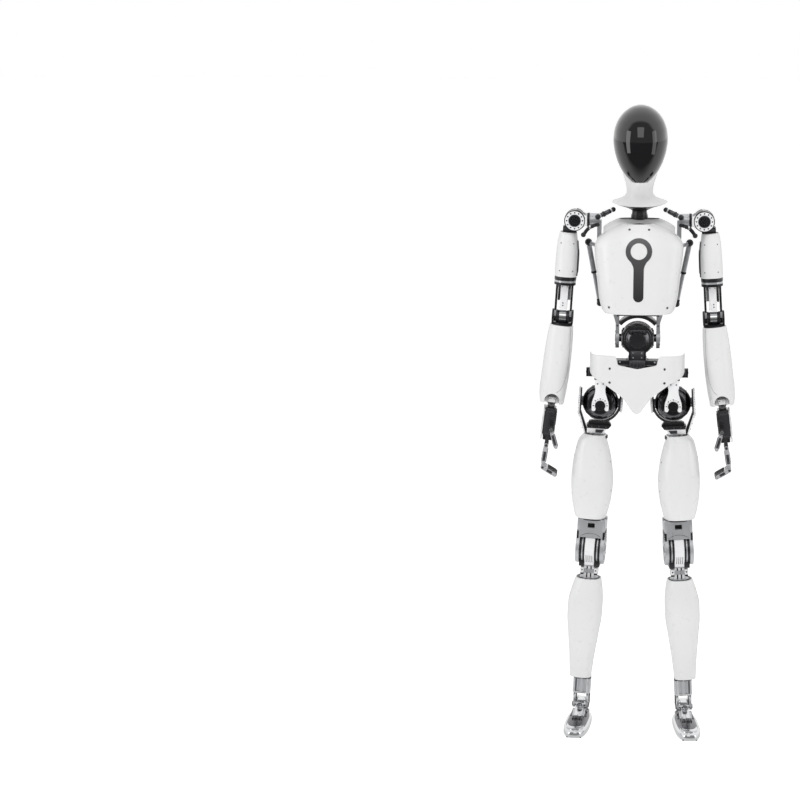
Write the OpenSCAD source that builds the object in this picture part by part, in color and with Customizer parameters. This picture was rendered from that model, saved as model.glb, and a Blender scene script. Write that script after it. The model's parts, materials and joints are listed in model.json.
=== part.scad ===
// Humanoid robot kit, standing. Millimetres. Front is -Y, the robot's left side is +X, +Z is up.

/* [Placing] */
// how far the body axis stands behind the origin
axis_y = 41; // [0:1:100]
// number of points around each shell ring
shell_points = 20; // [12:4:40]
// wall of the white shells
wall = 3; // [1.5:0.5:6]
// radial clearance of pivot pins
pin_gap = 0.05; // [0.01:0.01:0.1]
// free gap between parts that pass each other
free_gap = 0.5; // [0.3:0.1:2]

/* [Legs] */
// sideways distance of the hip centre from the body axis
hip_x = 92; // [70:1:120]
// outward lean of the leg
leg_tilt = 3; // [0:0.5:6]
// outward turn of the knee and foot
toe_out = 5; // [0:1:15]
// distance from hip centre to knee axis
knee_drop = 381; // [300:1:450]
// distance from hip centre to ankle axis
ankle_drop = 800; // [700:1:900]
// height of the ankle axis above the sole
ankle_z = 45; // [35:1:60]
// length of the ankle crank and of the heel lever
lever = 34; // [25:1:45]

/* [Arms] */
// sideways distance of the shoulder roll axis
shoulder_x = 162.6; // [140:0.1:190]
// height of the shoulder
shoulder_z = 1308.7; // [1200:0.1:1400]
// how far the shoulder axis lies behind the body axis
shoulder_y = 10; // [0:1:20]
// sideways distance from the shoulder roll axis to the arm's own axis
arm_offset = 13; // [0:1:20]
// outward lean of the upper arm
arm_tilt = 3.6; // [0:0.1:12]
// further outward lean of the forearm
elbow_out = 3; // [0:0.1:8]
// distance from shoulder to elbow axis
elbow_drop = 248; // [200:1:300]
// distance from shoulder to wrist
wrist_drop = 469; // [400:1:520]
// distance from shoulder to knuckles
knuckle_drop = 581; // [500:1:640]

/* [Torso] */
// height of the waist centre
waist_z = 1010; // [950:1:1060]
// radius of the waist ball
waist_r = 43; // [36:1:45]
// height of the neck pitch axis
neck_z = 1316; // [1310:1:1325]

/* [Hidden] */
$fn = 64;
crank_drop = ankle_drop - 211;
hip_z = ankle_z + ankle_drop * cos(leg_tilt);

// ring lists: height, centre x, centre y, half width, half depth, roundness
thigh_rings = [
    [-300, 6, 0, 39, 40, 2.5], [-285, 6.5, 0, 43, 44, 2.5], [-250, 7, 0, 50, 49, 2.5],
    [-204, 8, 0, 53.5, 52, 2.5], [-160, 10, 0, 50, 49, 2.5], [-120, 12, 0, 42.5, 42, 2.5],
    [-98, 13, 0, 36, 38, 2.5], [-83, 8, 0, 29, 31, 2.5]
];
shin_rings = [
    [-723, 5, -3, 27.5, 24, 2.5], [-670, 5, -2, 32, 28.5, 2.5], [-610, 5, 0, 39, 37, 2.5],
    [-555, 5, 3, 44.5, 43, 2.5], [-525, 5, 3, 44.5, 44, 2.5], [-490, 3, 1, 40, 40, 2.5],
    [-459, 1, 0, 32.7, 34, 2.5]
];
upper_arm_rings = [
    [-144, 0, 0, 27.5, 33, 2.4], [-125, 0, 0, 28.5, 35, 2.4], [-90, 0, 0, 28, 34, 2.4],
    [-50, 1, 0, 25, 31, 2.4], [-31, 1, 0, 22, 27, 2.4]
];
forearm_rings = [
    [-471, 0, 0, 31, 38, 2.4], [-455, 1, 0, 33, 42, 2.4], [-430, 1, 2, 35, 47, 2.4],
    [-391, 0, 3, 35.5, 50, 2.4], [-345, 0, 2, 35, 46, 2.4], [-300, 0, 0, 33, 38, 2.4],
    [-269, 0, 0, 30, 31, 2.4]
];
head_rings = [
    [1409, 0, -28, 24, 42, 2.1], [1422, 0, -27, 36, 53, 2.1], [1440, 0, -25, 48, 64, 2.1],
    [1465, 0, -23, 59, 74, 2.1], [1490, 0, -21.5, 65.5, 79.5, 2.1], [1512, 0, -21, 68, 81, 2.1],
    [1535, 0, -20, 66.5, 78, 2.1], [1557, 0, -18, 60, 70, 2.1], [1575, 0, -15, 49, 58, 2.1],
    [1589, 0, -12, 34, 41, 2.1], [1597, 0, -10, 19, 23, 2.1], [1600, 0, -9, 7, 8, 2.1]
];
collar_rings = [
    [0, 0, 0, 70, 66, 2], [6, 0, 0, 55, 52, 2], [14, 0, 0, 40, 39, 2],
    [26, 0, 0, 33, 33, 2], [44, 0, 0, 35, 36, 2], [62, 0, -3, 40, 42, 2]
];
dish_rings = [
    [-20, 0, 0, 21, 21, 2], [-12, 0, 0, 37, 35, 2], [-3, 0, 0, 62, 58, 2], [-0.5, 0, 0, 68, 64, 2]
];
shoulder_cap_rings = [
    [1250, 0, 0, 96, 26, 2.6], [1272, 0, 4, 100, 34, 2.6], [1290, 0, 6, 92, 36, 2.6],
    [1304, 0, 8, 74, 32, 2.6], [1313, 0, 10, 54, 25, 2.6]
];
foot_rings = [
    [0, 0, -61, 30, 101, 3], [6, 0, -61, 32.5, 104, 3], [16, 0, -61, 31.5, 101, 3],
    [23, 0, -50, 29, 84, 2.8], [27, 0, -30, 26, 60, 2.6], [30, 0, -14, 21, 42, 2.4]
];

// half rings: height, half width, edge y, depth, roundness
chest_rings = [
    [1079, 84, -36, 52, 2.6], [1088, 91, -34, 56, 2.6], [1135, 101, -33, 59, 2.6],
    [1185, 106, -33, 60, 2.6], [1220, 110, -33, 60, 2.6], [1245, 111.4, -32, 60, 2.6],
    [1260, 108, -31, 58, 2.6], [1271, 100.6, -30, 56, 2.6], [1284, 83, -29, 52, 2.5],
    [1296, 59, -28, 46, 2.3], [1305, 36, -27, 42, 2.2]
];
back_rings = [
    [1088, 74, -14, 70, 2.6], [1110, 84, -17, 76, 2.6], [1180, 94, -18, 96, 2.6],
    [1230, 96, -16, 100, 2.6], [1262, 90, -14, 92, 2.6], [1285, 70, -12, 74, 2.4]
];
pelvis_rings = [
    [818, 112, 25, 88, 4.6], [870, 117, 25, 95, 4.8], [925, 120, 25, 100, 5], [976, 120, 25, 100, 5]
];
pelvis_outline = [
    [121, 974], [54, 973], [49, 950], [0, 940], [-49, 950], [-54, 973], [-121, 974], [-121, 929],
    [-117, 928], [-78, 898], [-37, 867], [-10, 828], [0, 822], [10, 828], [37, 867], [78, 898],
    [117, 928], [121, 929]
];

// ---- shapes used by many parts ----

function rounded(v, p) = sign(v) * pow(abs(v), 2 / p);
function ring_at(r, inset) = [
    for (i = [0 : shell_points - 1])
        let (a = 360 * i / shell_points)
        [r[1] + (r[3] - inset) * rounded(cos(a), r[5]), r[2] + (r[4] - inset) * rounded(sin(a), r[5]), r[0]]
];
function half_ring(r, inset, front) = [
    for (i = [0 : shell_points])
        let (a = front * 180 + 180 * i / shell_points)
        [(r[1] - inset) * rounded(cos(a), r[4]), r[2] + (r[3] - inset) * rounded(sin(a), r[4]), r[0]]
];
function backwards(list) = [for (i = [len(list) - 1 : -1 : 0]) list[i]];
function flat_list(loops) = [for (l = loops) each l];
function band(k, j, n) = [
    for (i = [0 : n - 1])
        let (m = (i + 1) % n)
        each [[k * n + i, j * n + i, j * n + m], [k * n + i, j * n + m, k * n + m]]
];

// closed stack of loops, low to high
module stack(loops) {
    n = len(loops[0]);
    top = len(loops) - 1;
    sides = [for (k = [0 : top - 1]) each band(k, k + 1, n)];
    lid = [for (i = [n - 1 : -1 : 0]) top * n + i];
    base = [for (i = [0 : n - 1]) i];
    polyhedron(flat_list(loops), concat(sides, [lid, base]));
}

module solid_loft(rings, inset = 0) {
    stack([for (r = rings) ring_at(r, inset)]);
}

module tube_loft(rings, thick) {
    loops = concat([for (r = rings) ring_at(r, 0)], backwards([for (r = rings) ring_at(r, thick)]));
    n = shell_points;
    count = len(loops);
    polyhedron(flat_list(loops), [for (k = [0 : count - 1]) each band(k, (k + 1) % count, n)]);
}

function strip_cap(first, n, up) = [
    for (i = [0 : n - 1])
        let (a = first + i, b = a + 1, c = first + 2 * n - i, d = c + 1)
        each up ? [[a, c, b], [a, d, c]] : [[a, b, c], [a, c, d]]
];

// open shell over half a turn: front = 1 faces -Y, front = 0 faces +Y
module half_loft(rings, thick, front) {
    n = shell_points;
    loops = [for (r = rings) concat(half_ring(r, 0, front), backwards(half_ring(r, thick, front)))];
    top = len(loops) - 1;
    size = 2 * n + 2;
    sides = [for (k = [0 : top - 1]) each band(k, k + 1, size)];
    caps = concat(strip_cap(top * size, n, true), strip_cap(0, n, false));
    polyhedron(flat_list(loops), concat(sides, caps));
}

module along_x(r, x0, x1) {
    translate([x0, 0, 0]) rotate([0, 90, 0]) cylinder(r = r, h = x1 - x0);
}

module along_y(r, y0, y1) {
    translate([0, y1, 0]) rotate([90, 0, 0]) cylinder(r = r, h = y1 - y0);
}

module along_z(r, z0, z1) {
    translate([0, 0, z0]) cylinder(r = r, h = z1 - z0);
}

module box(x0, x1, y0, y1, z0, z1) {
    translate([x0, y0, z0]) cube([x1 - x0, y1 - y0, z1 - z0]);
}

// plate in the XZ plane with the given outline
module plate_y(points, y0, y1) {
    translate([0, y1, 0]) rotate([90, 0, 0]) linear_extrude(y1 - y0) polygon(points);
}

// plate in the YZ plane with the given outline
module plate_x(points, x0, x1) {
    translate([x0, 0, 0]) rotate([90, 0, 90]) linear_extrude(x1 - x0) polygon(points);
}

module link(a, b, r) {
    d = b - a;
    turn = atan2(d[1], d[0]);
    lean = acos(d[2] / norm(d));
    translate(a) rotate([0, lean, turn]) cylinder(r = r, h = norm(d));
}

module holes_y(pitch_r, count, r, y0, y1) {
    for (i = [0 : count - 1])
        rotate([0, 360 * i / count, 0]) translate([0, 0, pitch_r]) along_y(r, y0, y1);
}

module both_sides() {
    children();
    mirror([1, 0, 0]) children();
}

module at_body() {
    translate([0, axis_y, 0]) children();
}

module at_hip() {
    translate([hip_x, axis_y, hip_z]) rotate([0, -leg_tilt, 0]) children();
}

module at_leg() {
    at_hip() rotate([0, 0, toe_out]) children();
}

module at_foot() {
    lean = ankle_drop * sin(leg_tilt);
    translate([hip_x + lean, axis_y, ankle_z]) rotate([0, 0, toe_out]) children();
}

module at_shoulder() {
    translate([shoulder_x, axis_y + shoulder_y, shoulder_z]) children();
}

module at_upper() {
    at_shoulder() translate([arm_offset, 0, 0]) rotate([0, -arm_tilt, 0]) children();
}

module at_arm() {
    at_upper() translate([0, 0, -elbow_drop]) rotate([0, -elbow_out, 0]) translate([0, 0, elbow_drop]) children();
}

// ---- pelvis and waist ----

module pelvis_frame() color([0.10, 0.10, 0.11]) at_body() {
    difference() {
        box(-62, 62, -62, 62, 940, 948);
        along_z(19, 930, 950);
    }
    box(-84, 84, -62, -40, 916, 940.5);
    box(-104, 104, 40, 64, 916, 940.5);
    for (s = [-1, 1])
        box(s * 33 - 16, s * 33 + 16, -14, 14, 947, 954);
    difference() {
        union() {
            box(-30, 30, -41, 41, 918, 941);
            along_z(20, 940, 955.5);
        }
        along_z(12 + pin_gap, 925, 960);
    }
    both_sides() {
        box(100, 108, -34, 45, 905, 936);
        box(108, 130, 38, 56, 903, 925);
    }
}

module pelvis_cover() color([0.94, 0.94, 0.94]) at_body() intersection() {
    half_loft(pelvis_rings, wall, 1);
    plate_y(pelvis_outline, -120, 60);
}

module hip_brackets() color([0.9, 0.9, 0.9]) at_body() both_sides()
    translate([hip_x, 0, hip_z]) for (s = [-1, 1])
        translate([0, s * 61, 0]) difference() {
            union() {
                along_y(21.5, -3, 3);
                plate_y([[-21, 5], [-11, 40], [-15, 66], [15, 66], [11, 40], [21, 5]], -3, 3);
            }
            along_y(13 + pin_gap, -4, 4);
            box(-12, 12, -4, 4, -30, -4);
            holes_y(17.4, 12, 1.6, -4, -1.5);
        }

module waist_post() color([0.16, 0.16, 0.17]) at_body() {
    along_z(21.7, 956, 964);
    along_z(12, 926, 957);
    box(-21.7, 21.7, -56, 56, 958, 965);
    for (s = [-1, 1])
        translate([0, s * 53, 0]) difference() {
            union() {
                box(-21.7, 21.7, -3, 3, 958, waist_z);
                translate([0, 0, waist_z]) along_y(21.7, -3, 3);
            }
            translate([0, 0, waist_z]) along_y(12 + pin_gap, -4, 4);
        }
}

module waist_drive() color([0.09, 0.09, 0.1]) at_body() translate([0, 0, waist_z]) {
    sphere(r = waist_r);
    along_y(12, -57, 57);
    along_x(10, -57, 57);
    box(-23, 23, -45, -20, 14, 26);
}

// ---- torso ----

module chest_frame() color([0.72, 0.73, 0.75]) at_body() {
    // core
    box(-50, 50, -24, 40, 1085, 1238);
    box(-56, 56, -34, 34, 1082, 1089);
    difference() {
        along_z(26, 1237, 1295);
        along_z(10 + pin_gap, 1279, 1296);
    }
    both_sides() {
        // waist fork
        difference() {
            union() {
                box(47, 56, -20, 20, waist_z, 1083);
                translate([0, 0, waist_z]) along_x(26, 47, 56);
                plate_y([[47, 1083], [47, 1050], [56, 1050], [66, 1083]], -20, 20);
            }
            translate([0, 0, waist_z]) along_x(10 + pin_gap, 40, 60);
        }
        // shoulder boss
        translate([0, shoulder_y, shoulder_z]) difference() {
            union() {
                along_x(17, 100, 123.5);
                box(95, 106, -14, 14, -62, 0);
            }
            along_x(8 + pin_gap, 106.5, 125);
        }
        box(20, 106, shoulder_y - 14, shoulder_y + 14, 1226, 1249);
        // side rod
        link([128, 40, 1249], [98, 58, 1090], 5);
        translate([128, 40, 1249]) sphere(r = 9);
        translate([98, 58, 1090]) sphere(r = 7.5);
        link([97, 18, 1238], [128, 40, 1249], 5);
        link([50, 30, 1084], [98, 58, 1084.5], 2.6);
        // neck strut
        link([104, -10, 1318], [66, 0, 1336], 5);
        translate([104, -10, 1318]) sphere(r = 7);
        translate([66, 0, 1336]) sphere(r = 6);
    }
}

module chest_cover() color([0.95, 0.95, 0.95]) at_body() {
    difference() {
        half_loft(chest_rings, wall, 1);
        for (x = [-72.9, 72.9])
            translate([x, 0, 1096.8]) along_y(2.6, -100, -20);
        for (x = [-24.3, 24.3])
            translate([x, 0, 1292.7]) along_y(2.6, -100, -20);
    }
    // keyhole inlay
    difference() {
        union() {
            translate([0, 0, 1239.6]) along_y(33, -93.6, -84);
            plate_y([[-26, 1220], [-12.8, 1200], [-12.8, 1125], [12.8, 1125], [12.8, 1200], [26, 1220]], -93.4, -84);
            translate([0, 0, 1125]) along_y(12.8, -93.4, -84);
        }
        translate([0, 0, 1239.6]) along_y(21, -96, -91);
    }
    // shoulder cap, open below
    difference() {
        tube_loft(shoulder_cap_rings, wall);
        translate([0, 0, 1290]) along_z(27, -60, 60);
        box(-110, -90, -60, 60, 1200, 1340);
        box(90, 110, -60, 60, 1200, 1340);
    }
}

module back_cover() color([0.05, 0.05, 0.06]) at_body() {
    difference() {
        half_loft(back_rings, wall, 0);
        both_sides() box(84, 112, -20, 30, 1220, 1300);
        solid_loft(shoulder_cap_rings, -free_gap);
    }
    both_sides() {
        link([140, -28, 1274], [118, -28, 1296], 4.5);
        link([118, -28, 1296], [103, -10, 1298], 4.5);
        translate([118, -28, 1296]) sphere(r = 5.5);
        translate([140, -28, 1274]) sphere(r = 6.5);
    }
}

// ---- neck and head ----

module neck_pivot() color([0.12, 0.12, 0.13]) at_body() {
    along_z(20, 1296, 1302);
    along_z(10, 1280, 1297);
    for (s = [-1, 1])
        difference() {
            union() {
                box(s * 12.5 - 2.5, s * 12.5 + 2.5, -8, 8, 1300, neck_z);
                translate([0, 0, neck_z]) along_x(8, s * 12.5 - 2.5, s * 12.5 + 2.5);
            }
            translate([0, 0, neck_z]) along_x(4 + pin_gap, -20, 20);
        }
}

module tilted_collar() translate([0, 0, 1356]) rotate([7, 0, 0]) children();

module neck_post() color([0.05, 0.05, 0.06]) at_body() {
    translate([0, 0, neck_z]) {
        along_x(4, -15, 15);
        along_x(7.5, -9.5, 9.5);
        box(-9.5, 9.5, -7, 7, 0, 14);
    }
    translate([0, 0, neck_z + 12]) cylinder(r1 = 16.4, r2 = 21, h = 14);
    tilted_collar() solid_loft(dish_rings);
}

module head_split(gap) translate([0, -56, 1412]) rotate([-19.5, 0, 0]) translate([-200, gap, -100])
    cube([400, 400, 400]);

module head_skin() {
    difference() {
        solid_loft(head_rings);
        solid_loft([for (i = [0 : len(head_rings) - 2]) head_rings[i]], 4);
    }
}

module head_shell() color([0.95, 0.95, 0.95]) at_body() {
    intersection() {
        head_skin();
        head_split(0.4);
    }
    tilted_collar() solid_loft(collar_rings);
}

module visor() color([0.01, 0.01, 0.012]) at_body() difference() {
    head_skin();
    head_split(-0.1);
}

// ---- arm, left side ----

module shoulder_yoke() color([0.92, 0.92, 0.92]) at_shoulder() {
    difference() {
        union() {
            along_y(26, -34, -26);
            plate_y([[-10, 24], [-31, 10], [-31, -12], [-10, -24]], -34, -26);
        }
        along_y(14.5, -36, -20);
        holes_y(20, 12, 2, -36, -30);
    }
    difference() {
        union() {
            along_y(24, 28, 34);
            plate_y([[-10, 22], [-31, 12], [-31, -12], [-10, -22]], 28, 34);
        }
        along_y(10 + pin_gap, 20, 40);
    }
    box(-31, -27, -34, 34, -12, 12);
    along_x(17, 124 - shoulder_x, 133 - shoulder_x);
    along_x(8, 108 - shoulder_x, 125 - shoulder_x);
}

module shoulder_drive() color([0.1, 0.1, 0.11]) at_shoulder() {
    along_y(25, -25, 27);
    along_y(14, -36, -20);
    along_y(10, 26, 34);
    translate([arm_offset, 0, 0]) rotate([0, -arm_tilt, 0]) {
        box(-20, 15, -18, 18, -30, -16);
        along_z(12, -46, -29);
    }
}

module upper_arm_shell() color([0.94, 0.94, 0.94]) at_upper() tube_loft(upper_arm_rings, wall);

module upper_arm_frame() color([0.74, 0.75, 0.77]) at_upper() {
    difference() {
        along_z(18, -140, -32);
        along_z(12 + pin_gap, -46.5, -30);
    }
    along_z(27, -165, -145);
    along_z(18, -146, -139);
    for (s = [-1, 1])
        difference() {
            union() {
                box(s * 19.5 - 2.5, s * 19.5 + 2.5, -13, 13, -elbow_drop, -160);
                translate([0, 0, -elbow_drop]) along_x(13, s * 19.5 - 2.5, s * 19.5 + 2.5);
            }
            translate([0, 0, -elbow_drop]) along_x(6 + pin_gap, -30, 30);
        }
    along_z(7, -222, -160);
    box(-16, 16, 4, 9, -205, -160);
}

module forearm_frame() color([0.07, 0.07, 0.08]) {
    at_upper() translate([0, 0, -elbow_drop]) {
        along_x(6, -26.7, 26.7);
        along_x(16, -16.5, 16.5);
        for (s = [-1, 1])
            translate([s * 24.6, 0, 0]) {
                along_x(19, -2.1, 2.1);
                box(-2.1, 2.1, -16, 16, -18.5, 0);
            }
        box(-26.7, 26.7, -16, 16, -18.5, -14.5);
    }
    at_arm() {
        along_z(22, -284, -264);
        along_z(15, -432, -283);
        difference() {
            along_z(20, -448, -431);
            along_z(6 + pin_gap, -449, -433);
        }
    }
}

module forearm_shell() color([0.94, 0.94, 0.94]) at_arm() difference() {
    tube_loft(forearm_rings, wall);
    translate([0, 0, -462]) along_y(19, -70, -10);
    box(-19, 19, -70, -10, -490, -462);
}

module wrist_cross() color([0.85, 0.86, 0.88]) at_arm() {
    along_z(14, -458, -448.5);
    along_z(6, -449, -434);
    for (s = [-1, 1])
        difference() {
            union() {
                box(-10, 10, s * 19 - 2.5, s * 19 + 2.5, -wrist_drop, -452);
                translate([0, 0, -wrist_drop]) along_y(10, s * 19 - 2.5, s * 19 + 2.5);
            }
            translate([0, 0, -wrist_drop]) along_y(5 + pin_gap, -30, 30);
        }
    box(-10, 10, -21, 21, -457, -452);
}

module palm() color([0.06, 0.06, 0.07]) at_arm() {
    translate([0, 0, -wrist_drop]) {
        along_y(5, -21.5, 21.5);
        along_y(10, -16, 16);
        box(-9, 9, -16, 16, -16, 0);
    }
    translate([0, 0, -wrist_drop]) difference() {
        plate_y([[-13, -15], [-14, -60], [-11, -100], [11, -100], [15, -60], [13, -15]], -26, 27);
        box(-20, 20, -40, -9, -120, -86);
    }
    for (y = [-12, 1, 14])
        translate([0, y, -wrist_drop]) box(12, 16, -3, 3, -84, -30);
    // knuckle lugs
    for (y = [-19.5, -2.5, 10.5, 23.5])
        translate([0, y, -knuckle_drop]) {
            along_y(4.5, -3, 3);
            along_y(2, -5.4, 5.4);
            box(-4.5, 4.5, -3, 3, 0, 28);
        }
    // thumb lug
    at_thumb_root() {
        box(-5, 5, -5.5, 8, 0.5, 5);
        along_z(2, -10, 1);
    }
}

// finger parts, knuckle axis along Y at the origin, pointing down
module finger_proximal() {
    for (s = [-1, 1])
        difference() {
            union() {
                translate([0, s * 4.5, 0]) along_y(5.5, -1, 1);
                translate([0, s * 4.5, 0]) box(-5.5, 5.5, -1, 1, -14, 0);
            }
            along_y(2 + pin_gap, -9, 9);
        }
    box(-5.5, 5.5, -5.5, 5.5, -46, -10);
    translate([0, 0, -58]) difference() {
        union() {
            along_y(4, -2.5, 2.5);
            box(-4, 4, -2.5, 2.5, 0, 13);
        }
        along_y(1.5 + pin_gap, -4, 4);
    }
}

module finger_distal() {
    along_y(1.5, -4, 4);
    for (s = [-1, 1])
        translate([0, s * 4.25, 0]) {
            along_y(5, -1.25, 1.25);
            box(-5, 5, -1.25, 1.25, -12, 0);
        }
    box(-5, 5, -5.5, 5.5, -36, -8);
    translate([0, 0, -36]) along_y(4.8, -5.2, 5.2);
}

module at_finger(y) at_arm() translate([0, y, -knuckle_drop]) rotate([0, -2, 0]) children();

module at_fingertip(y) at_finger(y) translate([0, 0, -58]) rotate([0, 68, 0]) children();

module index_proximal() color([0.8, 0.81, 0.83]) at_finger(-19.5) finger_proximal();

module index_distal() color([0.8, 0.81, 0.83]) at_fingertip(-19.5) finger_distal();

module fingers_proximal() color([0.8, 0.81, 0.83]) for (y = [-2.5, 10.5, 23.5])
    at_finger(y) finger_proximal();

module fingers_distal() color([0.8, 0.81, 0.83]) for (y = [-2.5, 10.5, 23.5])
    at_fingertip(y) finger_distal();

module at_thumb_root() {
    translate([-8, -32, -508]) children();
}

module at_thumb() at_arm() at_thumb_root() children();

module thumb_base() color([0.07, 0.07, 0.08]) at_thumb() {
    difference() {
        union() {
            along_z(5.5, -22, 0);
            box(-5.5, 5.5, -8, 0, -20, -2);
        }
        along_z(2 + pin_gap, -10.5, 1);
    }
    translate([0, -6, -28]) for (s = [-1, 1])
        translate([0, s * 5, 0]) {
            along_y(6, -1.5, 1.5);
            box(-5, 5, -1.5, 1.5, 0, 12);
        }
    box(-5, 5, -12.5, 0.5, -20, -12);
}

module thumb_tip() color([0.8, 0.81, 0.83]) at_thumb() translate([0, -6, -28]) {
    along_y(5.5, -3, 3);
    rotate([0, 22, 0]) {
        box(-4.5, 4.5, -2.8, 2.8, -12, 0);
        box(-5, 5, -5.5, 5.5, -46, -10);
        translate([0, 0, -46]) along_y(4.8, -5.2, 5.2);
    }
}

// ---- leg, left side ----

module hip_cage() color([0.1, 0.1, 0.11]) at_hip() difference() {
    union() {
        rotate([90, 0, 0]) sphere(r = 46);
        along_y(24, -57, 57);
        along_y(13, -65, 65);
    }
    along_x(12 + pin_gap, -60, 60);
}

module hip_yoke() color([0.86, 0.87, 0.88]) at_hip() {
    along_x(12, -56, 56);
    for (s = [-1, 1])
        translate([s * 52, 0, 0]) along_x(36, -4, 4);
    plate_y([
        [56, 0], [56, -32], [31, -80], [-31, -80], [-56, -32], [-56, 0], [-48, 0], [-48, -25],
        [-20, -58], [20, -58], [48, -25], [48, 0]
    ], -20, 20);
    along_z(14, -96, -79);
}

module thigh_shell() color([0.94, 0.94, 0.94]) at_leg() tube_loft(thigh_rings, wall);

module knee_fork() color([0.7, 0.71, 0.73]) at_leg() {
    along_z(22, -302, -130);
    difference() {
        along_z(17, -131, -81);
        along_z(14 + pin_gap, -97, -80);
    }
    difference() {
        union() {
            box(-35, 35, -30, 30, -350, -301);
            for (s = [-1, 1]) {
                translate([0, 0, -knee_drop]) along_x(41, s * 31 - 4, s * 31 + 4);
                box(s * 31 - 4, s * 31 + 4, -30, 30, -knee_drop, -330);
            }
        }
        translate([0, 0, -knee_drop]) along_x(42, -27, 27);
        translate([0, 0, -knee_drop]) along_x(9 + pin_gap, -50, 50);
        translate([0, 0, -318]) box(-9, 9, -40, -20, -6, 6);
    }
}

module shin_frame() color([0.62, 0.63, 0.65]) at_leg() {
    translate([0, 0, -knee_drop]) {
        along_x(9, -36, 36);
        along_x(40, -12, 12);
        along_x(37, -26, 26);
        box(-26, 26, -20, 20, -46, -20);
    }
    for (x = [-10, 0, 10])
        box(x - 3, x + 3, -12, 12, -460, -424);
    box(-21, 21, -14, 14, -446, -436);
    along_z(24, -470, -458);
    difference() {
        along_z(18, -650, -469);
        translate([0, 0, -crank_drop]) box(-19, 19, -9, 40, -22, 22);
    }
    // crank bearing cheeks
    for (s = [-1, 1])
        translate([0, 0, -crank_drop]) difference() {
            box(s * 22 - 2, s * 22 + 2, -16, 9, -34, 34);
            along_x(5 + pin_gap, -30, 30);
        }
    for (z = [-crank_drop - 34, -crank_drop + 26])
        difference() {
            box(-24, 24, -16, 9, z, z + 8);
            along_z(17, z - 1, z + 9);
        }
    // fluted lower tube
    difference() {
        plate_lower_tube(-766, -724);
        for (x = [-14, -7, 0, 7, 14])
            translate([x, -12.5, 0]) along_z(2, -770, -720);
    }
    for (s = [-1, 1])
        difference() {
            union() {
                box(s * 16.5 - 2.5, s * 16.5 + 2.5, -9, 9, -ankle_drop, -760);
                translate([0, 0, -ankle_drop]) along_x(9, s * 16.5 - 2.5, s * 16.5 + 2.5);
            }
            translate([0, 0, -ankle_drop]) along_x(5 + pin_gap, -30, 30);
        }
    along_z(14, -722, -649);
    along_z(11, -724.5, -721);
}

module plate_lower_tube(z0, z1) {
    box(-10, 10, -12.5, 12.5, z0, z1);
    for (x = [-10, 10])
        translate([x, 0, 0]) along_z(12.5, z0, z1);
}

module shin_shell() color([0.94, 0.94, 0.94]) at_leg() difference() {
    tube_loft(shin_rings, wall);
    box(-24, 24, 18, 70, -672, -crank_drop + 24);
}

module at_crank() at_leg() translate([0, 0, -crank_drop]) children();

module ankle_crank() color([0.3, 0.3, 0.32]) at_crank() {
    along_x(5, -23.5, 23.5);
    for (s = [-1, 1])
        translate([s * 11, 0, 0]) {
            along_x(8, -2, 2);
            box(-2, 2, 0, lever, -4.5, 4.5);
            translate([0, lever, 0]) along_x(5, -2, 2);
        }
    translate([0, lever, 0]) along_x(2.5, -20.5, 20.5);
}

module ankle_rods() color([0.06, 0.06, 0.07]) at_crank() for (s = [-1, 1])
    translate([s * 17, lever, 0]) difference() {
        union() {
            along_x(6, -3, 3);
            along_z(3.2, -207, -4);
            translate([0, 0, -211]) along_x(6, -3, 3);
        }
        along_x(2.5 + pin_gap, -4, 4);
        translate([0, 0, -211]) along_x(2.5 + pin_gap, -4, 4);
    }

module ankle_cross() color([0.8, 0.81, 0.83]) {
    at_foot() {
        box(-8, 8, -11, 11, -7, 10.5);
        along_y(5, -18, 18);
    }
    heel_lever();
}

module heel_lever() at_leg() translate([0, 0, -ankle_drop]) {
    along_x(5, -19, 19);
    box(-8, 8, -8, 22, 10, 13);
    box(-13, 13, 20, lever, 10, 13);
    for (s = [-1, 1])
        translate([s * 11, 0, 0]) {
            box(-2, 2, 27, lever + 5, 0, 13);
            translate([0, lever, 0]) along_x(5, -2, 2);
        }
    translate([0, lever, 0]) along_x(2.5, -20.5, 20.5);
}

module foot() color([0.82, 0.83, 0.85]) at_foot() {
    difference() {
        translate([0, 0, -ankle_z]) solid_loft(foot_rings);
        translate([0, -45, -ankle_z - 116]) along_x(120, -60, 60);
    }
    for (s = [-1, 1])
        translate([0, s * 15, 0]) difference() {
            union() {
                along_y(9, -3, 3);
                box(-9, 9, -3, 3, -18, 0);
            }
            along_y(5 + pin_gap, -5, 5);
        }
}

pelvis_frame();
pelvis_cover();
hip_brackets();
waist_post();
waist_drive();
chest_frame();
chest_cover();
back_cover();
neck_pivot();
neck_post();
head_shell();
visor();
shoulder_yoke();  // shoulder_yoke_l
shoulder_drive();  // shoulder_drive_l
upper_arm_frame();  // upper_arm_frame_l
upper_arm_shell();  // upper_arm_shell_l
forearm_frame();  // forearm_frame_l
forearm_shell();  // forearm_shell_l
wrist_cross();  // wrist_cross_l
palm();  // palm_l
thumb_base();  // thumb_base_l
thumb_tip();  // thumb_tip_l
index_proximal();  // index_proximal_l
index_distal();  // index_distal_l
fingers_proximal();  // fingers_proximal_l
fingers_distal();  // fingers_distal_l
hip_cage();  // hip_cage_l
hip_yoke();  // hip_yoke_l
thigh_shell();  // thigh_shell_l
knee_fork();  // knee_fork_l
shin_frame();  // shin_frame_l
shin_shell();  // shin_shell_l
ankle_crank();  // ankle_crank_l
ankle_rods();  // ankle_rods_l
ankle_cross();  // ankle_cross_l
foot();  // foot_l
mirror([1, 0, 0]) shoulder_yoke();  // shoulder_yoke_r
mirror([1, 0, 0]) shoulder_drive();  // shoulder_drive_r
mirror([1, 0, 0]) upper_arm_frame();  // upper_arm_frame_r
mirror([1, 0, 0]) upper_arm_shell();  // upper_arm_shell_r
mirror([1, 0, 0]) forearm_frame();  // forearm_frame_r
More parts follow.
